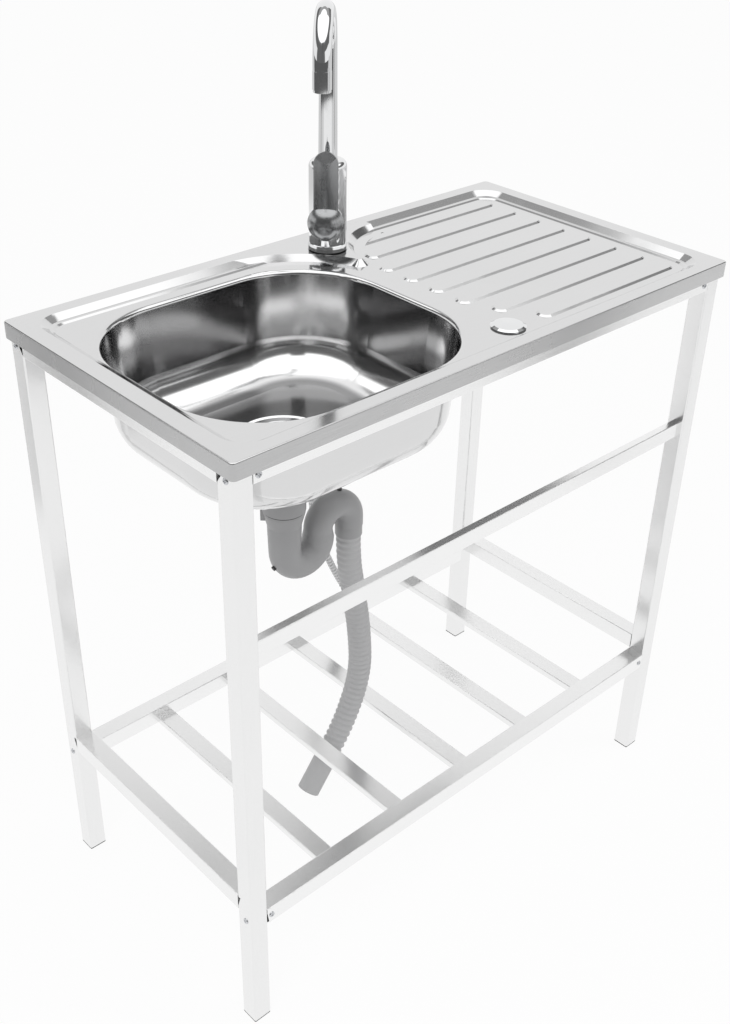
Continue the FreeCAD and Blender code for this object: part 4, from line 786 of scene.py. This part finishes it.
# %% The sky
sky_level = 0.75
wall_light = 1.0
box_light = 1.5
gap_low = 0.15
gap_high = 0.42
gap_turns = (0.52, 0.70)
wall_height = math.sin(math.radians(18.5))
wall_height_behind = math.sin(math.radians(46.0))
wall_rises = (0.80, 0.95)
wall_ends = (0.58, 0.70)
box_height = math.sin(math.radians(38.5))
box_height_behind = math.sin(math.radians(57.0))
boxes_rise = (0.50, 0.68)
soft_edge = 0.015
half_turn_share = math.sqrt(0.5)
left_share = 0.85
front_share = 0.53
above_zero = 0.0001


def to_left_front(x, y):
    """How far a point or a direction lies to the left and the front."""
    return (0.0 - x) * left_share - y * front_share


def sky():
    """White to the eye, and to reflections a studio. Behind the unit its wall is higher and its light boxes
    start higher, and the wall leaves the left front open."""
    world = bpy.data.worlds.new("studio")
    bpy.context.scene.world = world
    world.use_nodes = True
    world.cycles.sampling_method = "NONE"
    wire = Wire(world.node_tree)
    seen = wire.node("ShaderNodeLightPath", output="Is Camera Ray")
    mirrored = wire.node("ShaderNodeLightPath", output="Is Glossy Ray")
    x, y, z = object_parts(wire, "Generated")
    behind = (x + y) * half_turn_share / wire.math("SQRT", x * x + y * y + above_zero)
    wall_top = wall_height + (wall_height_behind - wall_height) * soft_step(wire, behind, *wall_rises)
    box_edge = box_height + (box_height_behind - box_height) * soft_step(wire, behind, *boxes_rise)
    front = soft_step(wire, to_left_front(x, y), *wall_ends)
    wall = soft_step(wire, wall_top - z, -soft_edge, soft_edge) * (1.0 - front)
    boxes = soft_step(wire, z - box_edge, -soft_edge, soft_edge)
    gap = gap_low + (gap_high - gap_low) * soft_step(wire, z, *gap_turns)
    bright = wire.math("MAXIMUM", wall, boxes)
    light = wall_light + (box_light - wall_light) * boxes
    level = seen + mirrored * (gap + (light - gap) * bright) + (1.0 - seen - mirrored) * sky_level
    background = world.node_tree.nodes["Background"]
    background.inputs["Color"].default_value = (1.0, 1.0, 1.0, 1.0)
    wire.feed(background.inputs["Strength"], level)
    return world


print("sky:", sky().name)

# %% [markdown]
# ### The floor
#
# The unit stands on a white floor and leaves a soft shadow on it. A plain white plane would do for the eye.
# For the metal it is also the largest thing that it mirrors, so its far part is greyer there and ends in a
# dark edge.

# %% Lay the floor
floor_near = 1.0
floor_far = 0.74
floor_end = 0.12
floor_colour = (0.82, 0.82, 0.82, 1.0)
floor_glow = 0.93
near_edge = (2.6, 3.0)
near_side = (0.55, 0.68)
far_edge = (4.10, 4.22)
far_side = (0.0, 0.5)
floor_size = 60.0
floor_drop = 0.0005


def plain_material(name):
    """A material with no shader yet."""
    material = bpy.data.materials.new(name)
    material.use_nodes = True
    material.cycles.emission_sampling = "NONE"
    material.node_tree.nodes.remove(material.node_tree.nodes["Principled BSDF"])
    return material, Wire(material.node_tree), material.node_tree.nodes["Material Output"]


def floor():
    """White to the eye but for the unit's own shadow. To reflections the white ends a few metres off."""
    material, wire, end = plain_material("floor")
    seen = wire.node("ShaderNodeLightPath", output="Is Camera Ray")
    mirrored = wire.node("ShaderNodeLightPath", output="Is Glossy Ray")
    x, y, z = object_parts(wire)
    distance = wire.math("SQRT", x * x + y * y + above_zero)
    before = soft_step(wire, (0.0 - x - y) * half_turn_share / distance, *near_side)
    near = wire.math("MAXIMUM", before, 1.0 - soft_step(wire, distance, *near_edge))
    beyond = soft_step(wire, distance, *far_edge) * soft_step(wire, to_left_front(x, y), *far_side)
    strength = (floor_far + (floor_near - floor_far) * near) * (1.0 - beyond) + floor_end * beyond
    matt = wire.node("ShaderNodeBsdfDiffuse", None, {"Color": floor_colour})
    glow = wire.node("ShaderNodeEmission", None,
                     {"Color": (1.0, 1.0, 1.0, 1.0), "Strength": seen + (1.0 - seen) * strength})
    mixed = wire.node("ShaderNodeMixShader", None, {"Fac": seen * floor_glow + mirrored, 1: matt, 2: glow})
    wire.feed(end.inputs["Surface"], mixed)
    bpy.ops.mesh.primitive_plane_add(size=floor_size, location=(0.0, 0.0, -floor_drop))
    ground = bpy.context.active_object
    ground.name = "floor"
    ground.data.materials.append(material)
    return ground


print("floor:", floor().name)

# %% [markdown]
# ### Cards and lamps
#
# A photographer stands dark cards round shiny metal, because the thin dark lines that they draw in it show
# its shape. Only reflections see these cards. The two soft lamps light the plastic and the floor, and are
# kept out of the reflections, where they would wash the bowl out.

# %% Stand the cards and hang the lamps
def card(name, around, distance, width, low, high, shade):
    """A card that stands round the unit and shows in reflections only."""
    material, wire, end = plain_material(name)
    glow = wire.node("ShaderNodeEmission", None, {"Color": (shade, shade, shade, 1.0), "Strength": 1.0})
    wire.feed(end.inputs["Surface"], glow)
    angle = math.radians(around)
    out = Vector((math.cos(angle), math.sin(angle), 0.0))
    side = Vector((-out.y, out.x, 0.0)) * width / 2
    left, right = out * distance - side, out * distance + side
    corners = [(*left.xy, low), (*right.xy, low), (*right.xy, high), (*left.xy, high)]
    mesh = bpy.data.meshes.new(name)
    mesh.from_pydata(corners, [], [(0, 1, 2, 3)])
    mesh.materials.append(material)
    standing = bpy.data.objects.new(name, mesh)
    bpy.context.scene.collection.objects.link(standing)
    for ray in ("camera", "diffuse", "transmission", "shadow", "volume_scatter"):
        setattr(standing, "visible_" + ray, False)


def lamp(name, place, side, power):
    """A soft square lamp that looks at the middle of the unit."""
    light = bpy.data.lights.new(name, "AREA")
    light.shape = "RECTANGLE"
    light.size = light.size_y = side
    light.energy = power
    holder = bpy.data.objects.new(name, light)
    bpy.context.scene.collection.objects.link(holder)
    holder.location = place
    holder.rotation_mode = "QUATERNION"
    holder.rotation_quaternion = (Vector(place) - unit_middle).to_track_quat("Z", "Y")
    holder.visible_glossy = False


unit_middle = Vector((0.0, 0.0, 0.6))
card("card_right", around=318.0, distance=1.30, width=0.10, low=0.06, high=0.9, shade=0.03)
card("card_left", around=132.0, distance=1.30, width=0.10, low=0.06, high=0.9, shade=0.03)
card("card_camera", around=225.0, distance=1.65, width=0.09, low=0.7, high=2.4, shade=0.10)
card("card_above", around=233.0, distance=2.0, width=0.75, low=1.75, high=2.8, shade=0.14)
lamp("lamp_left", place=(-1.8, -1.0, 2.4), side=1.2, power=22.0)
lamp("lamp_right", place=(1.6, -1.4, 2.0), side=1.2, power=12.0)
bpy.context.scene.view_settings.view_transform = "Standard"
print("lamps:", len(bpy.data.lights))
